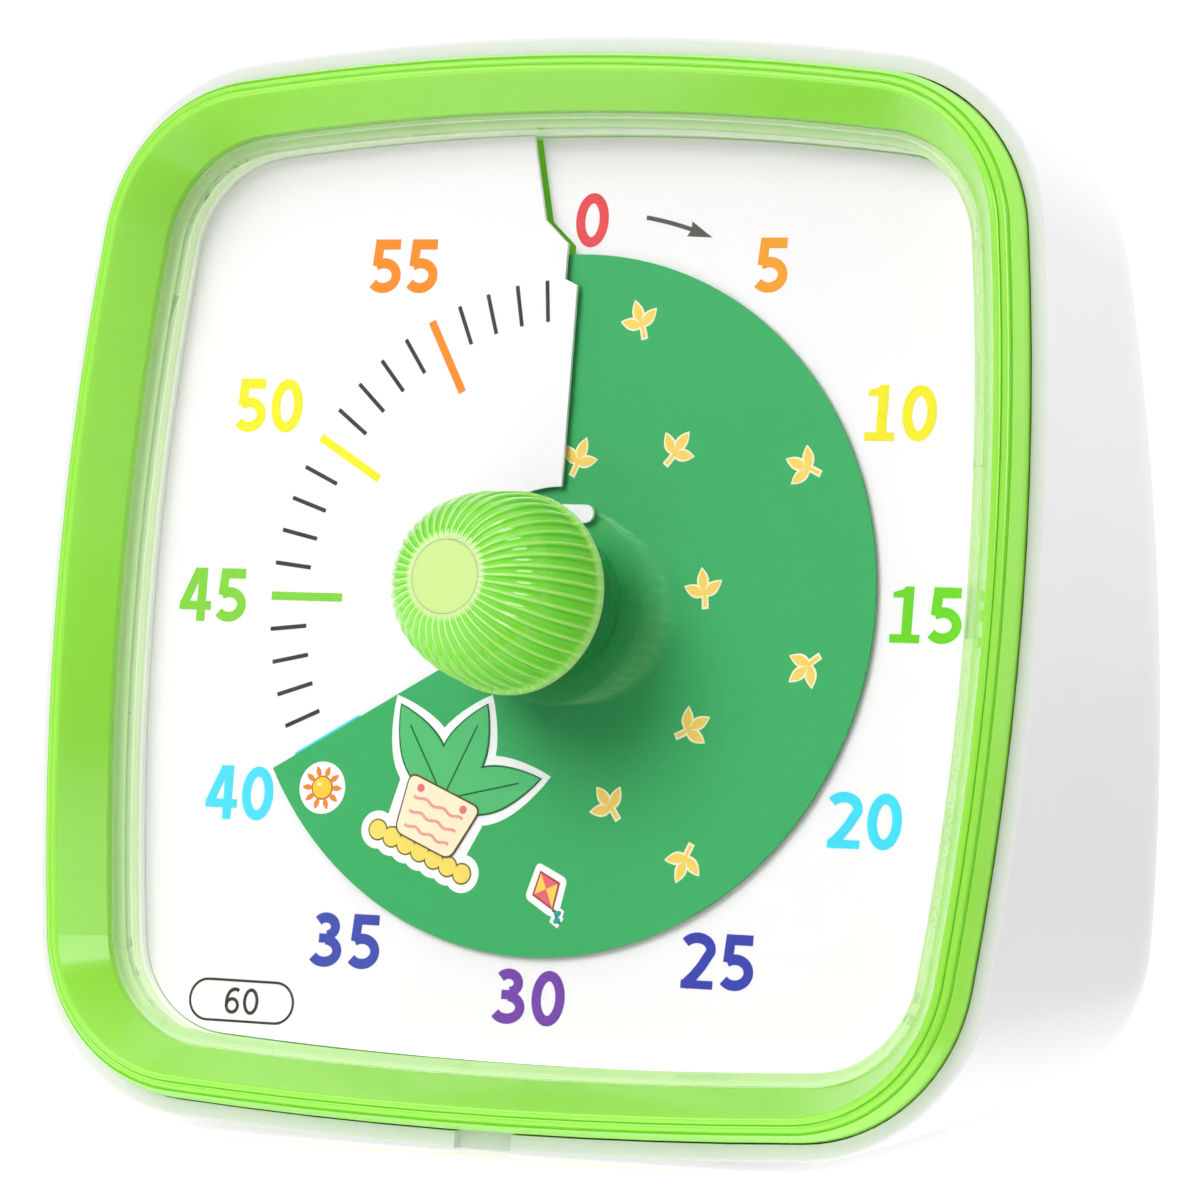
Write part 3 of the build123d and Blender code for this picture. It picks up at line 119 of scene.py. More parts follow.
@dataclass(frozen=True)
class Plastic:
    """Injection-moulded thermoplastic with the fine grain of a spark-eroded tool."""

    name: str
    colour: str
    shade: str
    roughness: float = 0.35
    grain_mm: float = 0.6  # the tool's grain is nearer 0.1 mm, drawn coarser so that it shows
    grain_depth_mm: float = 0.01
    grain_strength: float = 0.6
    polish: Point = (0.9, 1.15)  # least and most roughness, as shares of the usual
    cloud_mm: float = 25.0
    glow: float = 0.0
    glow_reach_mm: float = 2.0
    glow_reach: Place = (0.6, 1.0, 0.3)  # red, green and blue light's shares of that reach
    coat: float = 0.0
    coat_roughness: float = 0.08
    refraction: float = 1.5
    sheen: float = 0.5

    def material(self) -> bpy.types.Material:
        """Build the material: a slight mottle in colour, grain in the bump, light inside if it glows."""
        made, tree, shader = new_material(self.name)
        place = add_node(tree, "ShaderNodeTexCoord").outputs["Object"]
        cloud_scale, grain_scale = 1 / (self.cloud_mm * MM), 1 / (self.grain_mm * MM)
        cloud = add_node(tree, "ShaderNodeTexNoise", {"Vector": place, "Scale": cloud_scale, "Detail": 2.0})
        shades = {0: cloud, 6: linear(self.colour), 7: linear(self.shade)}
        tint = add_node(tree, "ShaderNodeMix", shades, data_type="RGBA")
        tree.links.new(tint.outputs[2], shader.inputs["Base Color"])
        grain = add_node(tree, "ShaderNodeTexNoise", {"Vector": place, "Scale": grain_scale, "Detail": 3.0})
        depth = {"Height": grain, "Distance": self.grain_depth_mm * MM, "Strength": self.grain_strength}
        tree.links.new(add_node(tree, "ShaderNodeBump", depth).outputs[0], shader.inputs["Normal"])
        smooth, rough = (self.roughness * share for share in self.polish)
        spread = add_node(tree, "ShaderNodeMapRange", {0: grain, 3: smooth, 4: rough})
        tree.links.new(spread.outputs[0], shader.inputs["Roughness"])
        shader.inputs["IOR"].default_value = self.refraction
        shader.inputs["Specular IOR Level"].default_value = self.sheen
        if self.glow:
            shader.inputs["Subsurface Weight"].default_value = self.glow
            shader.inputs["Subsurface Radius"].default_value = self.glow_reach
            shader.inputs["Subsurface Scale"].default_value = self.glow_reach_mm * MM
        if self.coat:
            shader.inputs["Coat Weight"].default_value = self.coat
            shader.inputs["Coat Roughness"].default_value = self.coat_roughness
        return made


@dataclass(frozen=True)
class RidgedPlastic(Plastic):
    """Translucent moulded plastic with a painted highlight on its ridges and painted shade in its grooves."""

    # painted highlight colour on the ridges, painted shade colour in the grooves, and the palest painted
    # highlight
    ridge: str = "#B2EC72"
    groove: str = "#5CC81E"
    pale: str = "#D6F5A6"
    ridges: int = 44
    lee: float = -1.9  # how far a groove's painted shade lies from its ridge, in radians of a ridge's wave
    # a painted highlight round the cap's seat
    cap_radius: float = 4.9
    cap_fade: float = 0.7
    crown: Point = (9.5, 5.5)  # radii between which the ridges' painted highlight pales towards the top
    # a painted highlight along the rim
    rim_level: float = 12.7
    rim_fade: float = 0.3

    def material(self) -> bpy.types.Material:
        """Build the plastic, then paint a highlight on each ridge, round the cap's seat and along the rim,
        and paint shade into each groove.
        """
        made = super().material()
        tree = made.node_tree
        shader = tree.nodes["Principled BSDF"]
        colour = shader.inputs["Base Color"].links[0].from_socket
        dial = DialFrame.from_frame()
        place = add_node(tree, "ShaderNodeTexCoord").outputs["Object"]
        away = add_node(tree, "ShaderNodeVectorMath", {0: place, 1: dial.origin}, operation="SUBTRACT")
        lean = {"Vector": away, "Rotation": (dial.tilt, 0.0, 0.0)}
        level = add_node(tree, "ShaderNodeVectorRotate", lean, rotation_type="EULER_XYZ")
        split = add_node(tree, "ShaderNodeSeparateXYZ", {0: level}).outputs
        turn = add_node(tree, "ShaderNodeMath", {0: split["Z"], 1: split["X"]}, operation="ARCTAN2")
        wave = add_node(tree, "ShaderNodeMath", {0: turn, 1: self.ridges}, operation="MULTIPLY")
        # painted highlight on each crest and painted shade a little past it, following the ridges' wave
        highlight_wave = add_node(tree, "ShaderNodeMath", {0: wave}, operation="COSINE")
        late = add_node(tree, "ShaderNodeMath", {0: wave, 1: self.lee}, operation="ADD")
        shade_wave = add_node(tree, "ShaderNodeMath", {0: late}, operation="COSINE")
        flat = add_node(tree, "ShaderNodeCombineXYZ", {0: split["X"], 1: split["Z"]})
        radius = add_node(tree, "ShaderNodeVectorMath", {0: flat}, operation="LENGTH").outputs["Value"]
        rise = add_node(tree, "ShaderNodeMath", {0: split["Y"], 1: -1.0}, operation="MULTIPLY")
        outer, inner = self.crown
        crown = add_node(tree, "ShaderNodeMapRange", {0: radius, 1: outer * MM, 2: inner * MM, 4: 0.7})
        pale = linear(self.pale)
        ridge = add_node(tree, "ShaderNodeMix", {0: crown, 6: linear(self.ridge), 7: pale}, data_type="RGBA")
        cap, rim = self.cap_radius, self.rim_level
        # each row paints a highlight or shade: the grooves' shade, the ridges' highlight, the cap seat's
        # highlight, the rim's highlight
        painted_light_coats = (  # what it goes by, where it starts, where it is full, its most and its colour
            (shade_wave, 0.1, 1.0, 0.8, linear(self.groove)),
            (highlight_wave, -0.35, -0.9, 0.9, ridge.outputs[2]),
            (radius, (cap + self.cap_fade) * MM, cap * MM, 1.0, pale),
            (rise, (rim + self.rim_fade) * MM, rim * MM, 0.7, pale),
        )
        for value, start, full, most, over in painted_light_coats:
            mask = add_node(tree, "ShaderNodeMapRange", {0: value, 1: start, 2: full, 4: most})
            mixed = add_node(tree, "ShaderNodeMix", {0: mask, 6: colour, 7: over}, data_type="RGBA")
            colour = mixed.outputs[2]
        tree.links.new(colour, shader.inputs["Base Color"])
        return made


@dataclass(frozen=True)
class BandedPlastic(Plastic):
    """Translucent moulded ring: lime at its floor, painted paler above it, with painted streaks of reflection
    in bands along it and a painted glow.
    """

    # colour of the painted reflection streaks
    light: str = "#FFFFFF"
    floor: str = "#8BE23C"
    floor_level: float = -3.0
    floor_fade: float = 0.4
    bands_per_mm: float = 1.1
    band_edge: Point = (0.46, 0.6)
    # strength of the painted glow, though the ring is no lamp
    inner_light: float = 0.16

    def material(self) -> bpy.types.Material:
        """Build the plastic, then colour it by its level above the dial, with painted reflection streaks and
        a painted glow.
        """
        made = super().material()
        tree = made.node_tree
        shader = tree.nodes["Principled BSDF"]
        body = shader.inputs["Base Color"].links[0].from_socket
        dial = DialFrame.from_frame()
        place = add_node(tree, "ShaderNodeTexCoord").outputs["Object"]
        away = add_node(tree, "ShaderNodeVectorMath", {0: place, 1: dial.origin}, operation="SUBTRACT")
        out_of_dial = {0: away, 1: dial.forward / MM}
        level = add_node(tree, "ShaderNodeVectorMath", out_of_dial, operation="DOT_PRODUCT").outputs["Value"]
        # painted reflection: white streaks in bands along the ring's level
        along = {"W": level, "Scale": self.bands_per_mm}
        streaks = add_node(tree, "ShaderNodeTexNoise", along, noise_dimensions="1D")
        streak_mask = add_node(tree, "ShaderNodeMapRange", {0: streaks, 1: self.band_edge[0], 2: self.band_edge[1]})
        pale = add_node(tree, "ShaderNodeMix", {0: streak_mask, 6: body, 7: linear(self.light)}, data_type="RGBA")
        floor = {0: level, 1: self.floor_level + self.floor_fade, 2: self.floor_level}
        shades = {0: add_node(tree, "ShaderNodeMapRange", floor), 6: pale.outputs[2], 7: linear(self.floor)}
        tint = add_node(tree, "ShaderNodeMix", shades, data_type="RGBA")
        # painted glow: the ring gives off its own colour, though it is no lamp
        for socket in ("Base Color", "Emission Color"):
            tree.links.new(tint.outputs[2], shader.inputs[socket])
        shader.inputs["Emission Strength"].default_value = self.inner_light
        return made


@dataclass(frozen=True)
class ClearAcrylic:
    """Polished clear acrylic: see-through, with sharp reflections and lamps' light let through."""

    name: str = "polished clear acrylic"
    colour: str = "#FFFFFF"
    refraction: float = 1.49

    def material(self) -> bpy.types.Material:
        """Build clear glass-like plastic that lets light from lamps straight through."""
        made, tree, shader = new_material(self.name)
        shader.inputs["Base Color"].default_value = linear(self.colour)
        shader.inputs["Transmission Weight"].default_value = 1.0
        shader.inputs["Roughness"].default_value = 0.0
        shader.inputs["IOR"].default_value = self.refraction
        through = add_node(tree, "ShaderNodeBsdfTransparent")
        shadow = add_node(tree, "ShaderNodeLightPath").outputs["Is Shadow Ray"]
        mixed = add_node(tree, "ShaderNodeMixShader", {0: shadow, 1: shader, 2: through})
        tree.links.new(mixed.outputs[0], tree.nodes["Material Output"].inputs["Surface"])
        return made


@dataclass(frozen=True)
class PrintingInk:
    """Screen-printed ink: an even, slightly satin film."""

    colour: str
    name: str = "screen ink"
    mottles_per_metre: float = 900.0  # the screen's threads are 0.1 mm apart, drawn coarser so that they show
    roughness: Point = (0.42, 0.55)
    sheen: float = 0.2

    def material(self) -> bpy.types.Material:
        """Build the ink with a trace of the screen's mottle."""
        made, tree, shader = new_material(f"{self.name} {self.colour}")
        place = add_node(tree, "ShaderNodeTexCoord").outputs["Object"]
        scale = {"Vector": place, "Scale": self.mottles_per_metre, "Detail": 1.0}
        mottle = add_node(tree, "ShaderNodeTexNoise", scale)
        smooth, rough = self.roughness
        spread = add_node(tree, "ShaderNodeMapRange", {0: mottle, 3: smooth, 4: rough})
        tree.links.new(spread.outputs[0], shader.inputs["Roughness"])
        shader.inputs["Specular IOR Level"].default_value = self.sheen
        shader.inputs["Base Color"].default_value = linear(self.colour)
        return made


@dataclass(frozen=True)
class Metal:
    """Plain metal sheet or wire with fine drawing marks."""

    name: str
    colour: str
    roughness: float = 0.3
    polish: Point = (0.8, 1.3)  # least and most roughness, as shares of the usual
    marks_per_metre: Place = (400.0, 400.0, 6000.0)  # a drawing mark is finer still, but then wouldn't show

    def material(self) -> bpy.types.Material:
        """Build the metal with marks that run along one direction."""
        made, tree, shader = new_material(self.name)
        place = add_node(tree, "ShaderNodeTexCoord").outputs["Object"]
        stretched = add_node(tree, "ShaderNodeMapping", {"Vector": place, "Scale": self.marks_per_metre})
        marks = add_node(tree, "ShaderNodeTexNoise", {"Vector": stretched, "Scale": 1.0, "Detail": 2.0})
        smooth, rough = (self.roughness * share for share in self.polish)
        spread = add_node(tree, "ShaderNodeMapRange", {0: marks, 3: smooth, 4: rough})
        tree.links.new(spread.outputs[0], shader.inputs["Roughness"])
        shader.inputs["Base Color"].default_value = linear(self.colour)
        shader.inputs["Metallic"].default_value = 1.0
        return made


# ------------------------------------------------------------------ the dial's own frame


@dataclass(frozen=True)
class DialFrame:
    """Where the dial is: x to the right, y up along the dial and level out of it, in millimetres."""

    origin: Vector
    forward: Vector

    @classmethod
    def from_frame(cls) -> "DialFrame":
        """Read the turning joint, which is at the dial's middle and points into the case."""
        joint = next(j for j in frame["joints"] if j["name"] == "timer_turn")
        return cls(Vector(joint["pos_m"]), -Vector(joint["axis"]))

    @property
    def tilt(self) -> float:
        """How far the dial leans back from the vertical."""
        return atan2(self.forward.z, -self.forward.y)

    def matrix(self) -> Matrix:
        """Matrix from the dial's millimetres to the object's metres."""
        right = Vector((1, 0, 0))
        up = self.forward.cross(right)
        turn = Matrix((right, up, self.forward)).transposed().to_4x4()
        return Matrix.Translation(self.origin) @ turn @ Matrix.Scale(MM, 4)


@dataclass(frozen=True)
class HelicalSheet:
    """A sheet that rises clockwise around the dial's middle."""

    start_level: float
    rise: float = SHEET_RISE
    seam: float = 0.0

    def level(self, x: float, y: float) -> float:
        """Level of the sheet's front at a place.

        Args:
            x: to the right of the middle.
            y: above the middle.

        Returns:
            The level in millimetres.
        """
        clockwise = (degrees(atan2(x, y)) - self.seam) % 360 + self.seam
        return self.start_level + self.rise * clockwise / 360


# ------------------------------------------------------------------ flat shapes


def arc(centre: Point, radii: Point, start: float, end: float, steps: int = 24) -> Outline:
    """Points along an elliptical arc, angles in degrees from the x axis."""
    return [
        (centre[0] + radii[0] * cos(radians(a)), centre[1] + radii[1] * sin(radians(a)))
        for a in (start + (end - start) * i / steps for i in range(steps + 1))
    ]


def ring(centre: Point, radii: Point, steps: int = 40) -> Outline:
    """A closed ellipse without a repeated last point."""
    return arc(centre, radii, 0, 360, steps)[:-1]


def spot(clockwise: float, radius: float) -> Point:
    """A place by its angle from twelve o'clock, in degrees, and its distance from the middle."""
    return (radius * sin(radians(clockwise)), radius * cos(radians(clockwise)))


def moved(points: Outline, by: Point = (0, 0), turn: float = 0.0, scale: float = 1.0) -> Outline:
    """Scale, turn (degrees) and shift an outline."""
    c, s = cos(radians(turn)) * scale, sin(radians(turn)) * scale
    return [(by[0] + c * x - s * y, by[1] + s * x + c * y) for x, y in points]


def stroke(points: Outline, width: float, closed: bool = False) -> list[Outline]:
    """Quads along a line of constant width with square ends and mitred corners.

    Args:
        points: the line's middle.
        width: across the line.
        closed: whether the last point joins the first.

    Returns:
        One quad for each stretch of the line.
    """
    count = len(points)
    left, right = [], []
    for i, (x, y) in enumerate(points):
        before = points[i - 1] if i or closed else points[i]
        after = points[(i + 1) % count] if i < count - 1 or closed else points[i]
        first = Vector((x - before[0], y - before[1]))
        second = Vector((after[0] - x, after[1] - y))
        first = first.normalized() if first.length else second.normalized()
        second = second.normalized() if second.length else first
        mid = (first + second).normalized()
        reach = width / 2 / max(mid.dot(second), LEAST_MITRE)
        left.append((x - mid.y * reach, y + mid.x * reach))
        right.append((x + mid.y * reach, y - mid.x * reach))
    last = count if closed else count - 1
    return [[right[i], right[(i + 1) % count], left[(i + 1) % count], left[i]] for i in range(last)]


@dataclass
class InkFilm:
    """Collects flat shapes in several inks and lays them on a helical sheet as thin films."""

    name: str
    sheet: HelicalSheet
    thickness: float = INK_THICKNESS
    lift: float = INK_LIFT
    shapes: list[tuple[Outline, str, int]] = field(default_factory=list)

    def add(self, outlines: list[Outline], colour: str, layer: int = 0) -> None:
        """Add shapes of one ink; higher layers lie on lower ones."""
        self.shapes += [(outline, colour, layer) for outline in outlines]

    def build(self, body: str, slot: str, inks: dict[str, bpy.types.Material]) -> bpy.types.Object:
        """Make the piece.

        Args:
            body: the CAD body that it rides on.
            slot: the record's slot; not used.
            inks: materials by colour, filled as needed.

        Returns:
            The new object.
        """
        mesh = bpy.data.meshes.new(self.name)
        colours = list(dict.fromkeys(colour for _, colour, _ in self.shapes))
        for colour in colours:
            if colour not in inks:
                inks[colour] = PrintingInk(colour).material()
            mesh.materials.append(inks[colour])
        film = bmesh.new()
        for outline, colour, layer in self.shapes:
            self._add_film(film, outline, colours.index(colour), layer)
        bmesh.ops.recalc_face_normals(film, faces=film.faces[:])
        film.to_mesh(mesh)
        film.free()
        mesh.transform(DialFrame.from_frame().matrix())
        piece = bpy.data.objects.new(self.name, mesh)
        bpy.context.scene.collection.objects.link(piece)
        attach(piece, body)
        return piece

    def _add_film(self, film: bmesh.types.BMesh, outline: Outline, material: int, layer: int) -> None:
        """Add one closed thin solid with the given outline."""
        bottom = self.lift
        top = self.lift + self.thickness * (layer + 1)
        corners = [[], []]
        for x, y in outline:
            level = self.sheet.level(x, y)
            for side, height in enumerate((bottom, top)):
                corners[side].append(film.verts.new((x, y, level + height)))
        flat = [Vector((x, y, 0)) for x, y in outline]
        for a, b, c in tessellate_polygon([flat]):
            for side in corners:
                face = film.faces.new((side[a], side[b], side[c]))
                face.material_index = material
        low, high = corners
        for i in range(len(outline)):
            j = (i + 1) % len(outline)
            wall = film.faces.new((low[i], low[j], high[j], high[i]))
            wall.material_index = material


# ------------------------------------------------------------------ numerals


@dataclass(frozen=True)
class Numerals:
    """Upright sans-serif digits drawn with an even stroke."""

    height: float = 6.95
    weight: float = 0.188
    advance: float = 0.78
    width: float = 0.685

    def digit(self, figure: str) -> list[Outline]:
        """Shapes of one digit in a cell one unit high."""
        w = self.weight
        h = w / 2
        top, base, right = 1 - h, h, self.width - h
        if figure == "0":
            return stroke(ring((0.345, 0.5), (0.335 - h, 0.5 - h), 36), w, closed=True)
        if figure == "1":
            return [
                [(0.3, 0), (0.3 + w * 1.05, 0), (0.3 + w * 1.05, 1), (0.34, 1), (0.3, 0.97)],
                [(0.1, 0.8), (0.3, 0.8), (0.34, 1.0), (0.29, 0.95), (0.1, 0.895)],
                [(0.08, 0), (0.66, 0), (0.66, 0.15), (0.08, 0.15)],
            ]
        if figure == "2":
            bowl = arc((0.315, 0.7), (right - 0.315, top - 0.7), 148, -12, 20)
            tail = [(0.52, 0.56), (0.43, 0.41), (0.29, 0.235), (0.1, 0.05)]
            return stroke(bowl + tail, w) + [[(0.04, 0), (0.67, 0), (0.67, 0.152), (0.04, 0.152)]]
        if figure == "3":
            upper = arc((0.3, 0.74), (0.2, top - 0.74), 145, -80, 20)
            lower = arc((0.295, 0.3), (right - 0.32, 0.3 - base), 85, -148, 22)
            return stroke(upper, w) + stroke(lower, w) + stroke([(0.17, 0.527), (0.33, 0.527)], w * 0.9)
        if figure == "4":
            return (
                stroke([(0.41, 0.975), (0.105, 0.3)], w * 0.95)
                + stroke([(0.02, 0.295), (0.7, 0.295)], w * 0.86)
                + stroke([(0.49, 0), (0.49, 1)], w * 0.98)
            )
        if figure == "5":
            bowl = arc((0.31, 0.325), (right - 0.32, 0.325 - base), 128, -142, 26)
            return stroke([(0.63, top), (0.19, top), (0.16, 0.5)], w) + stroke(bowl, w)
        bowl = ring((0.355, 0.315), (0.245, 0.315 - base), 30)
        back = arc((0.46, 0.47), (0.35, top - 0.47), 62, 190, 20)
        return stroke(bowl, w, closed=True) + stroke(back, w)

    def number(self, text: str, centre: Point, height: float | None = None) -> list[Outline]:
        """Shapes of a whole number, centred on a place.

        Args:
            text: the digits.
            centre: the number's middle.
            height: overrides the usual height.

        Returns:
            All shapes, in the dial's millimetres.
        """
        size = height or self.height
        length = self.advance * (len(text) - 1) + self.width
        shapes = []
        for i, figure in enumerate(text):
            shift = (centre[0] + (self.advance * i - length / 2) * size, centre[1] - size / 2)
            shapes += [moved(shape, shift, scale=size) for shape in self.digit(figure)]
        return shapes


class MarkColour(Enum):
    """Ink of each five-minute mark, by minute."""

    M00 = "#EE4E55"
    M05 = "#FBA227"
    M10 = "#FBEC1E"
    M15 = "#6CD818"
    M20 = "#3FE0FC"
    M25 = "#3A41B2"
    M30 = "#7845B0"
    M35 = "#4450B4"
    M40 = "#4DDFFC"
    M45 = "#86D63E"
    M50 = "#F6EF27"
    M55 = "#FB8F20"


# ------------------------------------------------------------------ dial


@dataclass
class DialPrint:
    """Everything printed on the white dial."""

    outer: float = 41.2
    minute_inner: float = 35.9
    mark_inner: float = 30.75
    minute_width: float = 0.53
    mark_width: float = 1.08
    number_circle: float = 50.9
    number_nudge: float = 0.85
    nudged: tuple[int, ...] = (5, 25, 35, 55)
    grey: str = "#3C3C3C"
    arrow_grey: str = "#5A5A56"
    arrow_circle: float = 50.0
    arrow_from: float = 9.5  # degrees from twelve o'clock, as are the next two
    arrow_neck: float = 17.2
    arrow_to: float = 20.8
    arrow_barb: float = 0.4
    arrow_width: float = 0.56
    arrow_half_head: float = 1.0
    badge: Point = (-40.9, -52.2)
    badge_size: Point = (15.3, 5.2)
    badge_line: float = 0.32
    badge_height: float = 3.4
    start_level: float = -0.9
    number_seam: float = -12.0  # where the sheet's level jumps for the prints, left of the nought
    numerals: Numerals = Numerals()
    badge_numerals: Numerals = Numerals(weight=0.13, advance=0.82)
    number_shifts: dict[int, Point] = field(
        default_factory=lambda: {
            0: (0.5, -1.9),
            10: (1.35, -0.6),
            20: (0.8, 0.0),
            25: (0.1, -0.4),
            30: (0.6, 1.45),
            35: (0.0, -0.5),
            40: (0.4, -0.1),
            45: (0.9, -0.1),
            50: (0.2, -0.8),
            55: (0.9, -0.4),
        }
    )
    inks: dict[str, bpy.types.Material] = field(default_factory=dict)

    def minute_ticks(self) -> bpy.types.Object:
        """Build the grey minute marks with a node tree and lay them on the dial."""
        tree = bpy.data.node_groups.new("minute ticks", "GeometryNodeTree")
        sizes = {
            "Count": ("NodeSocketInt", 60),
            "Every": ("NodeSocketInt", 5),
            "Inner": ("NodeSocketFloat", self.minute_inner),
            "Outer": ("NodeSocketFloat", self.outer),
            "Width": ("NodeSocketFloat", self.minute_width),
            "Thickness": ("NodeSocketFloat", INK_THICKNESS),
            "Level": ("NodeSocketFloat", self.start_level + INK_LIFT + INK_THICKNESS / 2),
            "Rise": ("NodeSocketFloat", SHEET_RISE),
        }
        tree.interface.new_socket("Geometry", in_out="OUTPUT", socket_type="NodeSocketGeometry")
        for name, (kind, _) in sizes.items():
            tree.interface.new_socket(name, in_out="INPUT", socket_type=kind)
        given = add_node(tree, "NodeGroupInput").outputs
        index = add_node(tree, "GeometryNodeInputIndex")
        share = add_node(tree, "ShaderNodeMath", {0: index, 1: given["Count"]}, operation="DIVIDE")
        angle = add_node(tree, "ShaderNodeMath", {0: share, 1: tau}, operation="MULTIPLY")
        both = add_node(tree, "ShaderNodeMath", {0: given["Inner"], 1: given["Outer"]}, operation="ADD")
        middle = add_node(tree, "ShaderNodeMath", {0: both, 1: 2.0}, operation="DIVIDE")
        place = add_node(tree, "ShaderNodeCombineXYZ")
        for axis, wave in enumerate(("SINE", "COSINE")):
            part = add_node(tree, "ShaderNodeMath", {0: angle}, operation=wave)
            part = add_node(tree, "ShaderNodeMath", {0: part, 1: middle}, operation="MULTIPLY")
            tree.links.new(part.outputs[0], place.inputs[axis])
        climb = {0: share, 1: given["Rise"], 2: given["Level"]}
        level = add_node(tree, "ShaderNodeMath", climb, operation="MULTIPLY_ADD")
        tree.links.new(level.outputs[0], place.inputs[2])
        points = add_node(tree, "GeometryNodePoints", {"Count": given["Count"], "Position": place})
        back = add_node(tree, "ShaderNodeMath", {0: angle, 1: -1.0}, operation="MULTIPLY")
        turns = {"Geometry": points, "Name": "turn", "Value": back}
        stored = add_node(tree, "GeometryNodeStoreNamedAttribute", turns, data_type="FLOAT", domain="POINT")
        rest = add_node(tree, "ShaderNodeMath", {0: index, 1: given["Every"]}, operation="MODULO")
        is_mark = add_node(tree, "FunctionNodeCompare", {0: rest, 1: 0.5}, operation="LESS_THAN")
        kept = add_node(tree, "GeometryNodeDeleteGeometry", {0: stored, 1: is_mark}, domain="POINT")
        ends = {0: given["Outer"], 1: given["Inner"]}
        length = add_node(tree, "ShaderNodeMath", ends, operation="SUBTRACT")
        size = add_node(tree, "ShaderNodeCombineXYZ", {0: given["Width"], 1: length, 2: given["Thickness"]})
        tick = add_node(tree, "GeometryNodeMeshCube", {0: size})
        turn = add_node(tree, "GeometryNodeInputNamedAttribute", {"Name": "turn"}, data_type="FLOAT")
        turned = add_node(tree, "ShaderNodeCombineXYZ", {2: turn})
        laid = {"Points": kept, "Instance": tick, "Rotation": turned}
        copies = add_node(tree, "GeometryNodeInstanceOnPoints", laid)
        real = add_node(tree, "GeometryNodeRealizeInstances", {0: copies})
        ink = self.inks.setdefault(self.grey, PrintingInk(self.grey).material())
        dressed = add_node(tree, "GeometryNodeSetMaterial", {"Geometry": real, "Material": ink})
        add_node(tree, "NodeGroupOutput", {0: dressed})
        values = {name: value for name, (_, value) in sizes.items()}
        piece = mesh_from_tree("dial_minute_ticks", tree, values)
        piece.data.transform(DialFrame.from_frame().matrix())
        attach(piece, "case")
        return piece

    def mark(self, minute: int) -> bpy.types.Object:
        """Build one five-minute mark and its number."""
        colour = MarkColour[f"M{minute:02d}"].value
        turn = 6.0 * minute
        film = InkFilm(f"dial_mark_{minute:02d}", HelicalSheet(self.start_level, seam=self.number_seam))
        bar = [(0, self.mark_inner), (0, self.outer)]
        film.add([moved(shape, turn=-turn) for shape in stroke(bar, self.mark_width)], colour)
        x, y = spot(turn, self.number_circle)
        if minute in self.nudged:
            x += self.number_nudge * (1 if x > 0 else -1)
            y -= self.number_nudge * (1 if y > 0 else -1)
        shift = self.number_shifts.get(minute, (0.0, 0.0))
        film.add(self.numerals.number(str(minute), (x + shift[0], y + shift[1])), colour)
        return film.build("case", "dial_white", self.inks)

    def arrow(self) -> bpy.types.Object:
        """Build the curved arrow that shows which way to set the timer."""
        film = InkFilm("dial_arrow", HelicalSheet(self.start_level))
        radius, neck, barb = self.arrow_circle, self.arrow_neck, self.arrow_neck - self.arrow_barb
        steps = 12
        step = (neck - self.arrow_from) / steps
        line = [spot(self.arrow_from + step * i, radius) for i in range(steps + 1)]
        film.add(stroke(line, self.arrow_width), self.arrow_grey)
        outer, inner = (spot(barb, radius + side * self.arrow_half_head) for side in (1, -1))
        film.add([[outer, spot(self.arrow_to, radius), inner, spot(neck, radius)]], self.arrow_grey)
        return film.build("case", "dial_white", self.inks)

    def range_badge(self) -> bpy.types.Object:
        """Build the small rounded frame with the timer's range of minutes."""
        film = InkFilm("dial_range_badge", HelicalSheet(self.start_level))
        wide, high = self.badge_size
        x, y = self.badge
        r = high / 2
        reach = wide / 2 - r
        line = arc((x + reach, y), (r, r), -90, 90, 16) + arc((x - reach, y), (r, r), 90, 270, 16)
        film.add(stroke(line, self.badge_line, closed=True), self.grey)
        film.add(self.badge_numerals.number("60", (x, y), self.badge_height), self.grey)
        return film.build("case", "dial_white", self.inks)


def mesh_from_tree(name: str, tree: bpy.types.NodeTree, values: dict[str, object]) -> bpy.types.Object:
    """Run a node tree once and keep its result as a plain mesh.

    Args:
        name: the new piece's name.
        tree: a tree whose inputs are all named sizes.
        values: each input's value by name.

    Returns:
        An object with the finished mesh and no modifier.
    """
    seed = bpy.data.objects.new(name, bpy.data.meshes.new(f"{name} seed"))
    bpy.context.scene.collection.objects.link(seed)
    run = seed.modifiers.new("tree", "NODES")
    run.node_group = tree
    for item in tree.interface.items_tree:
        if item.in_out == "INPUT":
            run[item.identifier] = values[item.name]
    bpy.context.view_layer.update()
    shaped = seed.evaluated_get(bpy.context.evaluated_depsgraph_get())
    mesh = bpy.data.meshes.new_from_object(shaped)
    seed.modifiers.clear()
    seed.data = mesh
    return seed


# ------------------------------------------------------------------ disc


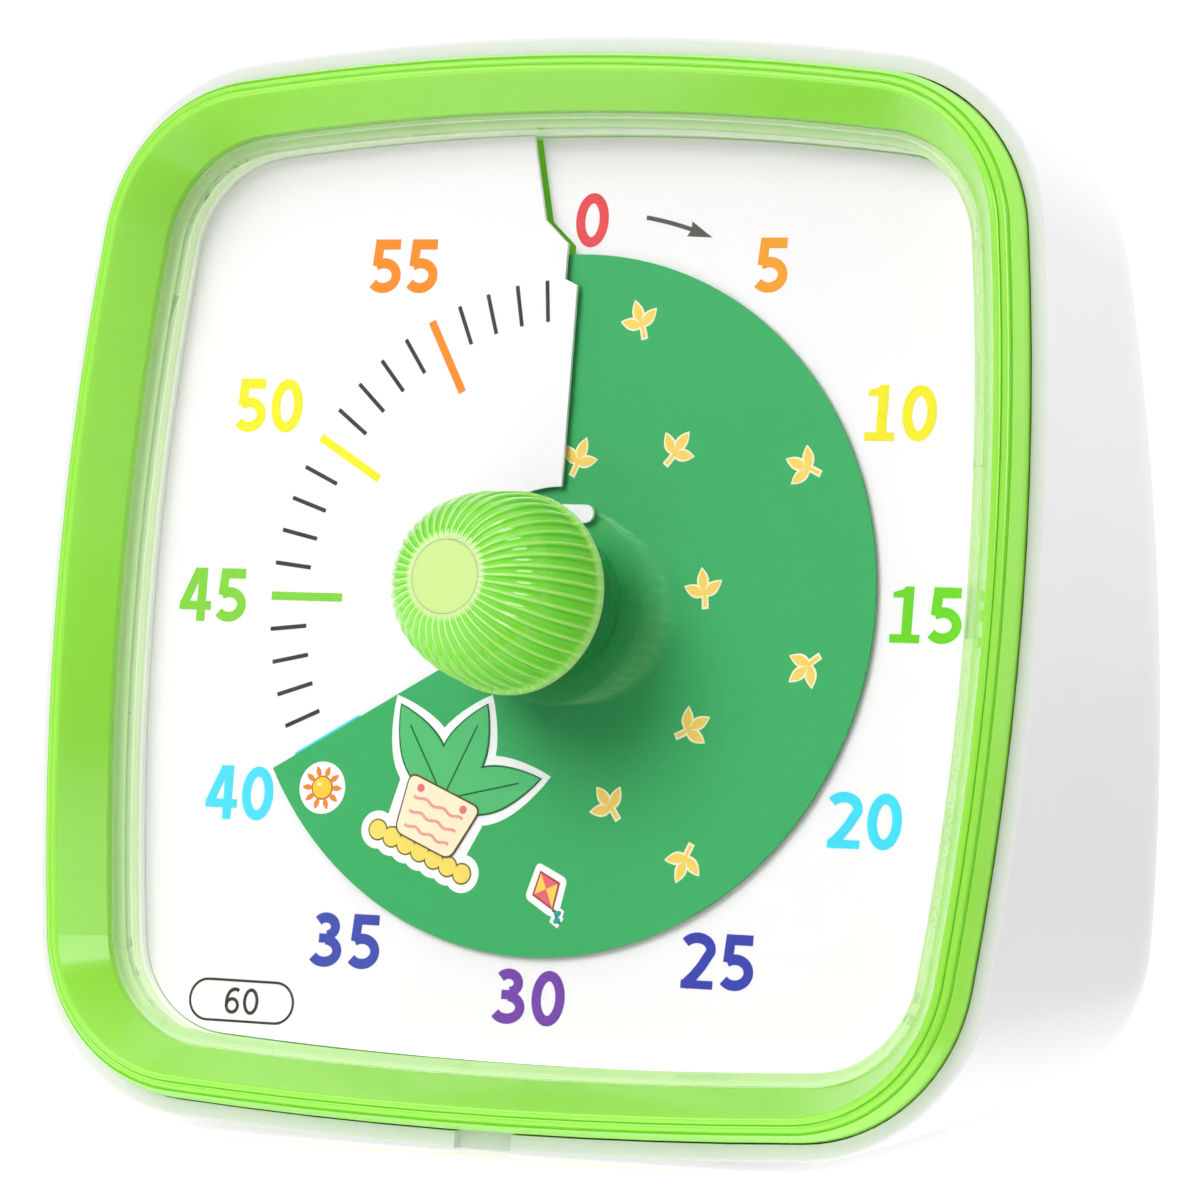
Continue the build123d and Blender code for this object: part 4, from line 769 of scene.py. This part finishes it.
@dataclass
class DiscPrint:
    """Generic motifs on the green disc: leaf sprigs and three stickers."""

    start_level: float = -0.1
    seam: float = -118.0
    cream: str = "#FFF6D6"
    yellow: str = "#FDD766"
    inks: dict[str, bpy.types.Material] = field(default_factory=dict)
    sprigs: tuple[tuple[float, float, float], ...] = (  # clockwise angle, distance out and turn of each
        (14.0, 37.0, 20.0),
        (38.0, 25.0, -35.0),
        (62.0, 38.0, 70.0),
        (84.0, 21.0, 10.0),
        (101.0, 36.5, 130.0),
        (126.0, 25.5, -60.0),
        (146.0, 38.0, 160.0),
        (5.0, 18.5, -20.0),
        (158.0, 27.0, 40.0),
    )

    def film(self, name: str) -> InkFilm:
        """Start a film on the disc's front."""
        return InkFilm(name, HelicalSheet(self.start_level, seam=self.seam))

    def sprig(self, number: int) -> bpy.types.Object:
        """Build one sprig: a stem and three pointed leaves with a cream edge."""
        clockwise, radius, turn = self.sprigs[number]
        place = spot(clockwise, radius)
        film = self.film(f"disc_sprig_{number + 1:02d}")
        leaves = [((0.0, 1.35), 90.0), ((-1.25, 0.15), 150.0), ((1.25, 0.15), 30.0)]
        for edge, colour, layer in ((0.26, self.cream, 0), (0.0, self.yellow, 1)):
            shapes = [moved(leaf(1.35 + edge, 0.58 + edge), middle, angle) for middle, angle in leaves]
            shapes += stroke([(0, 0.6 + edge), (0.1, -1.1), (0.0, -2.1 - edge)], 0.42 + 2 * edge)
            film.add([moved(shape, place, turn) for shape in shapes], colour, layer)
        return film.build("disc", "disc_green", self.inks)

    def plant_sticker(self) -> bpy.types.Object:
        """Build the large sticker: a striped cream pot with three green leaves on a scalloped saucer."""
        film = self.film("disc_sticker_plant")
        place = (-13.5, -25.5)
        turn = -22.0
        size = 1.25
        leaves = [
            ((-4.3, 3.6), (5.6, 2.5), 143.0),
            ((0.2, 5.6), (5.4, 2.6), 88.0),
            ((4.6, 3.4), (5.8, 2.5), 35.0),
        ]
        pot = rounded([(-4.6, 1.3), (-3.6, -5.0), (3.6, -5.0), (4.6, 1.3)], 1.1)
        scallops = [(-5.4 + 1.8 * i, -5.6) for i in range(7)]

        def put(shapes: list[Outline], colour: str, layer: int) -> None:
            """Add shapes in the sticker's own place, turn and size."""
            film.add([moved(shape, place, turn, size) for shape in shapes], colour, layer)

        white = "#FFFFFF"
        put([moved(leaf(long + 1.0, wide + 1.0), at, angle) for at, (long, wide), angle in leaves], white, 0)
        put([rounded([(-5.6, 2.3), (-4.8, -6.2), (4.8, -6.2), (5.6, 2.3)], 1.6)], white, 0)
        put([ring(at, (1.95, 1.95), 24) for at in scallops], white, 0)
        dark, green = "#1D6B3B", "#57C277"
        put([ring(at, (1.12, 1.12), 20) for at in scallops], "#7A6A28", 1)
        put([ring(at, (0.96, 0.96), 20) for at in scallops], "#FCE06A", 2)
        for at, (long, wide), angle in leaves:
            put([moved(leaf(long, wide), at, angle)], dark, 3)
            put([moved(leaf(long - 0.22, wide - 0.2), at, angle)], green, 4)
            vein = stroke([(-long * 0.8, 0), (long * 0.55, 0)], 0.16)
            put([moved(shape, at, angle) for shape in vein], dark, 5)
        put([pot], "#6B4B32", 6)
        put([rounded([(-4.42, 1.12), (-3.45, -4.84), (3.45, -4.84), (4.42, 1.12)], 0.98)], "#FFF1CF", 7)
        for height in (-0.7, -2.2, -3.7):
            reach = 3.9 + height * 0.12
            wave = [(x / 10 * reach, height + 0.16 * sin(x * 1.1)) for x in range(-8, 9)]
            put(stroke(wave, 0.3), "#F4A79B", 8)
        put([ring((-2.7, 0.25), (0.42, 0.42), 18), ring((2.7, 0.25), (0.42, 0.42), 18)], "#F2798A", 8)
        return film.build("disc", "disc_green", self.inks)

    def sun_sticker(self) -> bpy.types.Object:
        """Build a small sticker: a yellow sun with an orange rim and short rays."""
        film = self.film("disc_sticker_sun")
        place = spot(231.7, 39.5)
        ray = moved(leaf(0.75, 0.36), (2.15, 0))
        rays = [moved(ray, turn=36.0 * i) for i in range(10)]
        film.add([ring(place, (3.35, 3.35))], "#FFFFFF", 0)
        film.add([moved(shape, place) for shape in rays], "#F28A2E", 1)
        film.add([ring(place, (1.55, 1.55))], "#C4602A", 1)
        film.add([ring(place, (1.36, 1.36))], "#FFCF3E", 2)
        film.add([moved(ring((-0.4, 0.42), (0.36, 0.24), 18), place)], "#FFF0B0", 3)
        return film.build("disc", "disc_green", self.inks)

    def kite_sticker(self) -> bpy.types.Object:
        """Build a small sticker: a pink and yellow kite with a teal tail."""
        film = self.film("disc_sticker_kite")
        place = spot(176.0, 36.5)
        turn = 24.0
        kite = [(0, 3.1), (2.1, 0.6), (0, -2.3), (-2.1, 0.6)]
        tail = [(0.0, -2.2), (0.5, -2.9), (0.0, -3.5), (0.45, -4.2)]

        def put(shapes: list[Outline], colour: str, layer: int) -> None:
            """Add shapes in the sticker's own place and turn."""
            film.add([moved(shape, place, turn) for shape in shapes], colour, layer)

        put([rounded([(0, 4.3), (3.2, 0.7), (0.6, -3.0), (-0.6, -3.0), (-3.2, 0.7)], 0.8)], "#FFFFFF", 0)
        put(stroke(tail, 1.5), "#FFFFFF", 0)
        put([kite], "#B4404F", 1)
        put([[(0, 2.75), (1.75, 0.6), (0, 0.6)], [(0, 0.6), (0, -1.95), (-1.75, 0.6)]], "#F2697A", 2)
        put([[(0, 2.75), (0, 0.6), (-1.75, 0.6)], [(0, 0.6), (1.75, 0.6), (0, -1.95)]], "#FFD85C", 2)
        put(stroke(tail, 0.36), "#1F7F78", 2)
        put([ring((0.5, -2.9), (0.5, 0.34), 16), ring((0.1, -3.7), (0.5, 0.34), 16)], "#2FA79C", 3)
        return film.build("disc", "disc_green", self.inks)


def leaf(half_length: float, half_width: float, steps: int = 14) -> Outline:
    """A pointed leaf along the x axis, widest a little before its middle."""
    upper = [(-half_length + 2 * half_length * i / steps, i / steps) for i in range(steps + 1)]
    widths = [half_width * (sin(pi * t**0.85)) ** 0.9 if 0 < t < 1 else 0.0 for _, t in upper]
    top = [(x, w) for (x, _), w in zip(upper, widths)]
    return top + [(x, -w) for x, w in top[-2:0:-1]]


def rounded(corners: Outline, radius: float, steps: int = 6) -> Outline:
    """Round the corners of a convex outline with quadratic curves."""
    points = []
    count = len(corners)
    for i, corner in enumerate(corners):
        here = Vector(corner)
        before = (Vector(corners[i - 1]) - here).normalized() * radius + here
        after = (Vector(corners[(i + 1) % count]) - here).normalized() * radius + here
        for k in range(steps + 1):
            t = k / steps
            point = before * (1 - t) ** 2 + here * 2 * t * (1 - t) + after * t**2
            points.append((point.x, point.y))
    return points


# ------------------------------------------------------------------ carried-over pieces


@dataclass
class Housing:
    """Gives every CAD piece its finish."""

    finishes: dict[str, Plastic | ClearAcrylic | Metal] = field(
        default_factory=lambda: {
            # satin from a fine tool, so shade rolls softly round the corners
            "case_white": Plastic("moulded white ABS", "#E8E7E8", "#E5E4E5", roughness=0.42, coat=0.05),
            # polished tool and a little light inside: soft, saturated gloss
            "bezel_lime": Plastic("lime ABS", "#9CE849", "#98E444", roughness=0.22, glow=0.25, coat=0.3),
            "lens_clear": ClearAcrylic(),
            # thin calendered sheets: flat white and flat green, hardly shiny
            "dial_white": Plastic("white polystyrene sheet", "#FFFBFF", "#FDF9FD", roughness=0.5, sheen=0.2),
            "disc_green": Plastic(
                "green polypropylene sheet", "#3EB268", "#3AAE64", roughness=0.5, sheen=0.2
            ),
            # clear-tinted and polished, with painted highlights on the ridges, round the cap's seat and along
            # the rim, painted shade in the grooves, and a milky cap
            "knob_green": RidgedPlastic(
                "lime polycarbonate", "#84E23A", "#7EDE34", roughness=0.16, glow=0.35, coat=0.4
            ),
            "cap_pale": Plastic("pale lime polycarbonate", "#D0F294", "#CDF08F", roughness=0.3, glow=0.3),
            # bright and dull metals inside the movement and the battery bay
            "steel": Metal("drawn steel", "#C9CACC"),
            "bushing_brass": Metal("turned brass", "#D8B45C", roughness=0.25),
            "crystal_can": Metal("nickel-plated can", "#D6D6D8", roughness=0.18),
            "coil_copper": Metal("enamelled copper wire", "#B4622D", roughness=0.35),
            # plain engineering plastics, matt to satin
            "movement_grey": Plastic("black ABS", "#2C2C2E", "#27272A", roughness=0.45),
            "gear_white": Plastic("white acetal", "#EDEBE2", "#E6E4DA", roughness=0.35, glow=0.1),
            "part_black": Plastic("black nylon", "#1B1B1C", "#171718", roughness=0.4),
            "slider_white": Plastic("white nylon", "#E9E9E8", "#E4E4E3", roughness=0.4),
            # glossy films
            "board_green": Plastic(
                "green solder mask on glass epoxy", "#1C5E38", "#195632", roughness=0.25, coat=0.4
            ),
            "cell_wrap": Plastic(
                "shrink sleeve on a dry cell", "#39495F", "#35445A", roughness=0.28, coat=0.3
            ),
            # dull and grippy
            "foot_rubber": Plastic(
                "grey thermoplastic rubber", "#D5D5D4", "#CFCFCE", roughness=0.75, grain_mm=0.4
            ),
        }
    )
    # the carrier is painted paler than its real lime, as painted light in its deep well, with painted
    # reflection streaks and a painted glow
    carrier: BandedPlastic = BandedPlastic(
        "translucent lime ABS", "#DDF6C0", "#D4F2B2", roughness=0.3, glow=0.2
    )

    def dress(self) -> None:
        """Put each slot's material on the CAD pieces that use it, and the carrier's own, with its painted
        light, on the carrier.
        """
        made = {slot: finish.material() for slot, finish in self.finishes.items()}
        for part in frame["record"]["subparts"]:
            piece = frame["nodes"][part["node"]]
            piece.data.materials.clear()
            piece.data.materials.append(made[part["material_slot"]])
        carrier = frame["nodes"]["dial_carrier"]
        carrier.data.materials.clear()
        carrier.data.materials.append(self.carrier.material())


# ------------------------------------------------------------------ studio


@dataclass(frozen=True)
class Lamp:
    """A soft square lamp that faces the object's middle, in metres and watts."""

    name: str
    place: Place
    side: float
    power: float
    aim: Place = (0.0, 0.0, 0.07)

    def hang(self) -> None:
        """Hang the lamp."""
        made = bpy.data.lights.new(self.name, "AREA")
        made.shape = "RECTANGLE"
        made.size = made.size_y = self.side
        made.energy = self.power
        holder = bpy.data.objects.new(self.name, made)
        holder.location = self.place
        holder.rotation_euler = (Vector(self.aim) - Vector(self.place)).to_track_quat("-Z", "Y").to_euler()
        bpy.context.scene.collection.objects.link(holder)


@dataclass(frozen=True)
class Card:
    """A painted card that the camera doesn't see and that casts no shadow, in metres."""

    name: str
    place: Place
    size: Point
    aim: Place
    paint: str
    lights_up: bool = True

    def stand(self) -> None:
        """Stand the card where it faces its aim."""
        wide, high = self.size[0] / 2, self.size[1] / 2
        mesh = bpy.data.meshes.new(self.name)
        corners = [(-wide, -high, 0), (wide, -high, 0), (wide, high, 0), (-wide, high, 0)]
        mesh.from_pydata(corners, [], [(0, 1, 2, 3)])
        made, _, shader = new_material(f"{self.name} paint")
        shader.inputs["Base Color"].default_value = linear(self.paint)
        shader.inputs["Roughness"].default_value = 1.0
        mesh.materials.append(made)
        card = bpy.data.objects.new(self.name, mesh)
        card.location = self.place
        card.rotation_euler = (Vector(self.aim) - Vector(self.place)).to_track_quat("Z", "Y").to_euler()
        card.visible_camera = card.visible_shadow = False
        card.visible_diffuse = self.lights_up
        bpy.context.scene.collection.objects.link(card)


@dataclass
class Studio:
    """Pale floor, soft lamps, cards and the camera."""

    azimuth: float = 27.93
    elevation: float = 3.08
    distance: float = 787.9
    aside: float = 5.33
    above: float = 0.585
    lens_mm: float = 188.05
    room: float = 0.55
    table_glow: float = 0.34
    table: str = "#FBFBFB"
    floor_front: float = -6.0  # the floor's sizes are in metres
    floor_back: float = 1.0
    floor_half_width: float = 5.0
    cove_radius: float = 0.8
    wall_top: float = 2.4
    lamps: tuple[Lamp, ...] = (
        Lamp("key", (-0.5, -1.1, 0.92), 0.7, 7.5),
        Lamp("top", (0.1, -0.1, 1.2), 0.9, 3.0),
        Lamp("side", (1.2, 0.15, 0.5), 0.6, 6.2),
    )

    def camera(self) -> None:
        """Place the camera in front and to the right, a little above the dial's middle."""
        a, e = radians(self.azimuth), radians(self.elevation)
        away = Vector((sin(a) * cos(e), -cos(a) * cos(e), sin(e)))
        right = Vector((cos(a), sin(a), 0))
        up = away.cross(right)
        made = bpy.data.cameras.new("camera")
        made.lens = self.lens_mm
        made.sensor_width = 36.0
        made.clip_end = 10.0
        holder = bpy.data.objects.new("camera", made)
        shift = away * self.distance + right * self.aside + up * self.above
        turn = Matrix((right, up, away)).transposed().to_4x4()
        holder.matrix_world = Matrix.Translation(DialFrame.from_frame().origin + shift * MM) @ turn
        bpy.context.scene.collection.objects.link(holder)
        bpy.context.scene.camera = holder

    def floor(self) -> None:
        """Lay a pale floor that curves up far behind the object."""
        cove = arc((self.floor_back, self.cove_radius), (self.cove_radius, self.cove_radius), -90, 0, 16)
        profile = [(self.floor_front, 0.0), *cove, (cove[-1][0], self.wall_top)]
        mesh = bpy.data.meshes.new("floor")
        half = self.floor_half_width
        corners = [(x, y, z) for y, z in profile for x in (-half, half)]
        faces = [(2 * i, 2 * i + 1, 2 * i + 3, 2 * i + 2) for i in range(len(profile) - 1)]
        mesh.from_pydata(corners, [], faces)
        floor = bpy.data.objects.new("floor", mesh)
        for face in mesh.polygons:
            face.use_smooth = True
        bpy.context.scene.collection.objects.link(floor)
        made, _, shader = new_material("backlit white acrylic table")
        shader.inputs["Base Color"].default_value = linear(self.table)
        shader.inputs["Roughness"].default_value = 0.9
        shader.inputs["Emission Color"].default_value = linear("#FFFFFF")
        shader.inputs["Emission Strength"].default_value = self.table_glow
        mesh.materials.append(made)

    def cards(self) -> None:
        """Put a black card where the window mirrors the room and a grey one on the table to the right."""
        dial = tuple(DialFrame.from_frame().origin)
        Card("black card", (-0.68, -1.27, 0.47), (1.0, 1.0), dial, "#1A1A1A", lights_up=False).stand()
        Card("grey card", (0.5, 0.15, 0.002), (0.84, 1.1), (0.5, 0.15, 1.0), "#A0A0A0").stand()

    def lights(self) -> None:
        """Set an even white surround and the lamps."""
        world = bpy.data.worlds.new("white room")
        world.use_nodes = True
        sky = world.node_tree.nodes["Background"]
        sky.inputs["Color"].default_value = (1.0, 1.0, 1.0, 1.0)
        sky.inputs["Strength"].default_value = self.room
        bpy.context.scene.world = world
        for lamp in self.lamps:
            lamp.hang()


# ------------------------------------------------------------------ all together


def main() -> None:
    """Build every piece in order and report it."""
    logging.basicConfig(level=logging.INFO, format="%(message)s")
    bpy.context.scene.view_settings.view_transform = "Standard"
    studio = Studio()
    studio.camera()
    studio.floor()
    studio.cards()
    studio.lights()
    Housing().dress()
    dial = DialPrint()
    made = [dial.minute_ticks(), dial.arrow(), dial.range_badge()]
    made += [dial.mark(minute) for minute in range(0, 60, 5)]
    disc = DiscPrint()
    made += [disc.sprig(number) for number in range(len(disc.sprigs))]
    made += [disc.plant_sticker(), disc.sun_sticker(), disc.kite_sticker()]
    for piece in made:
        log.info("%s: %d faces", piece.name, len(piece.data.polygons))


if __name__ == "__main__":
    main()
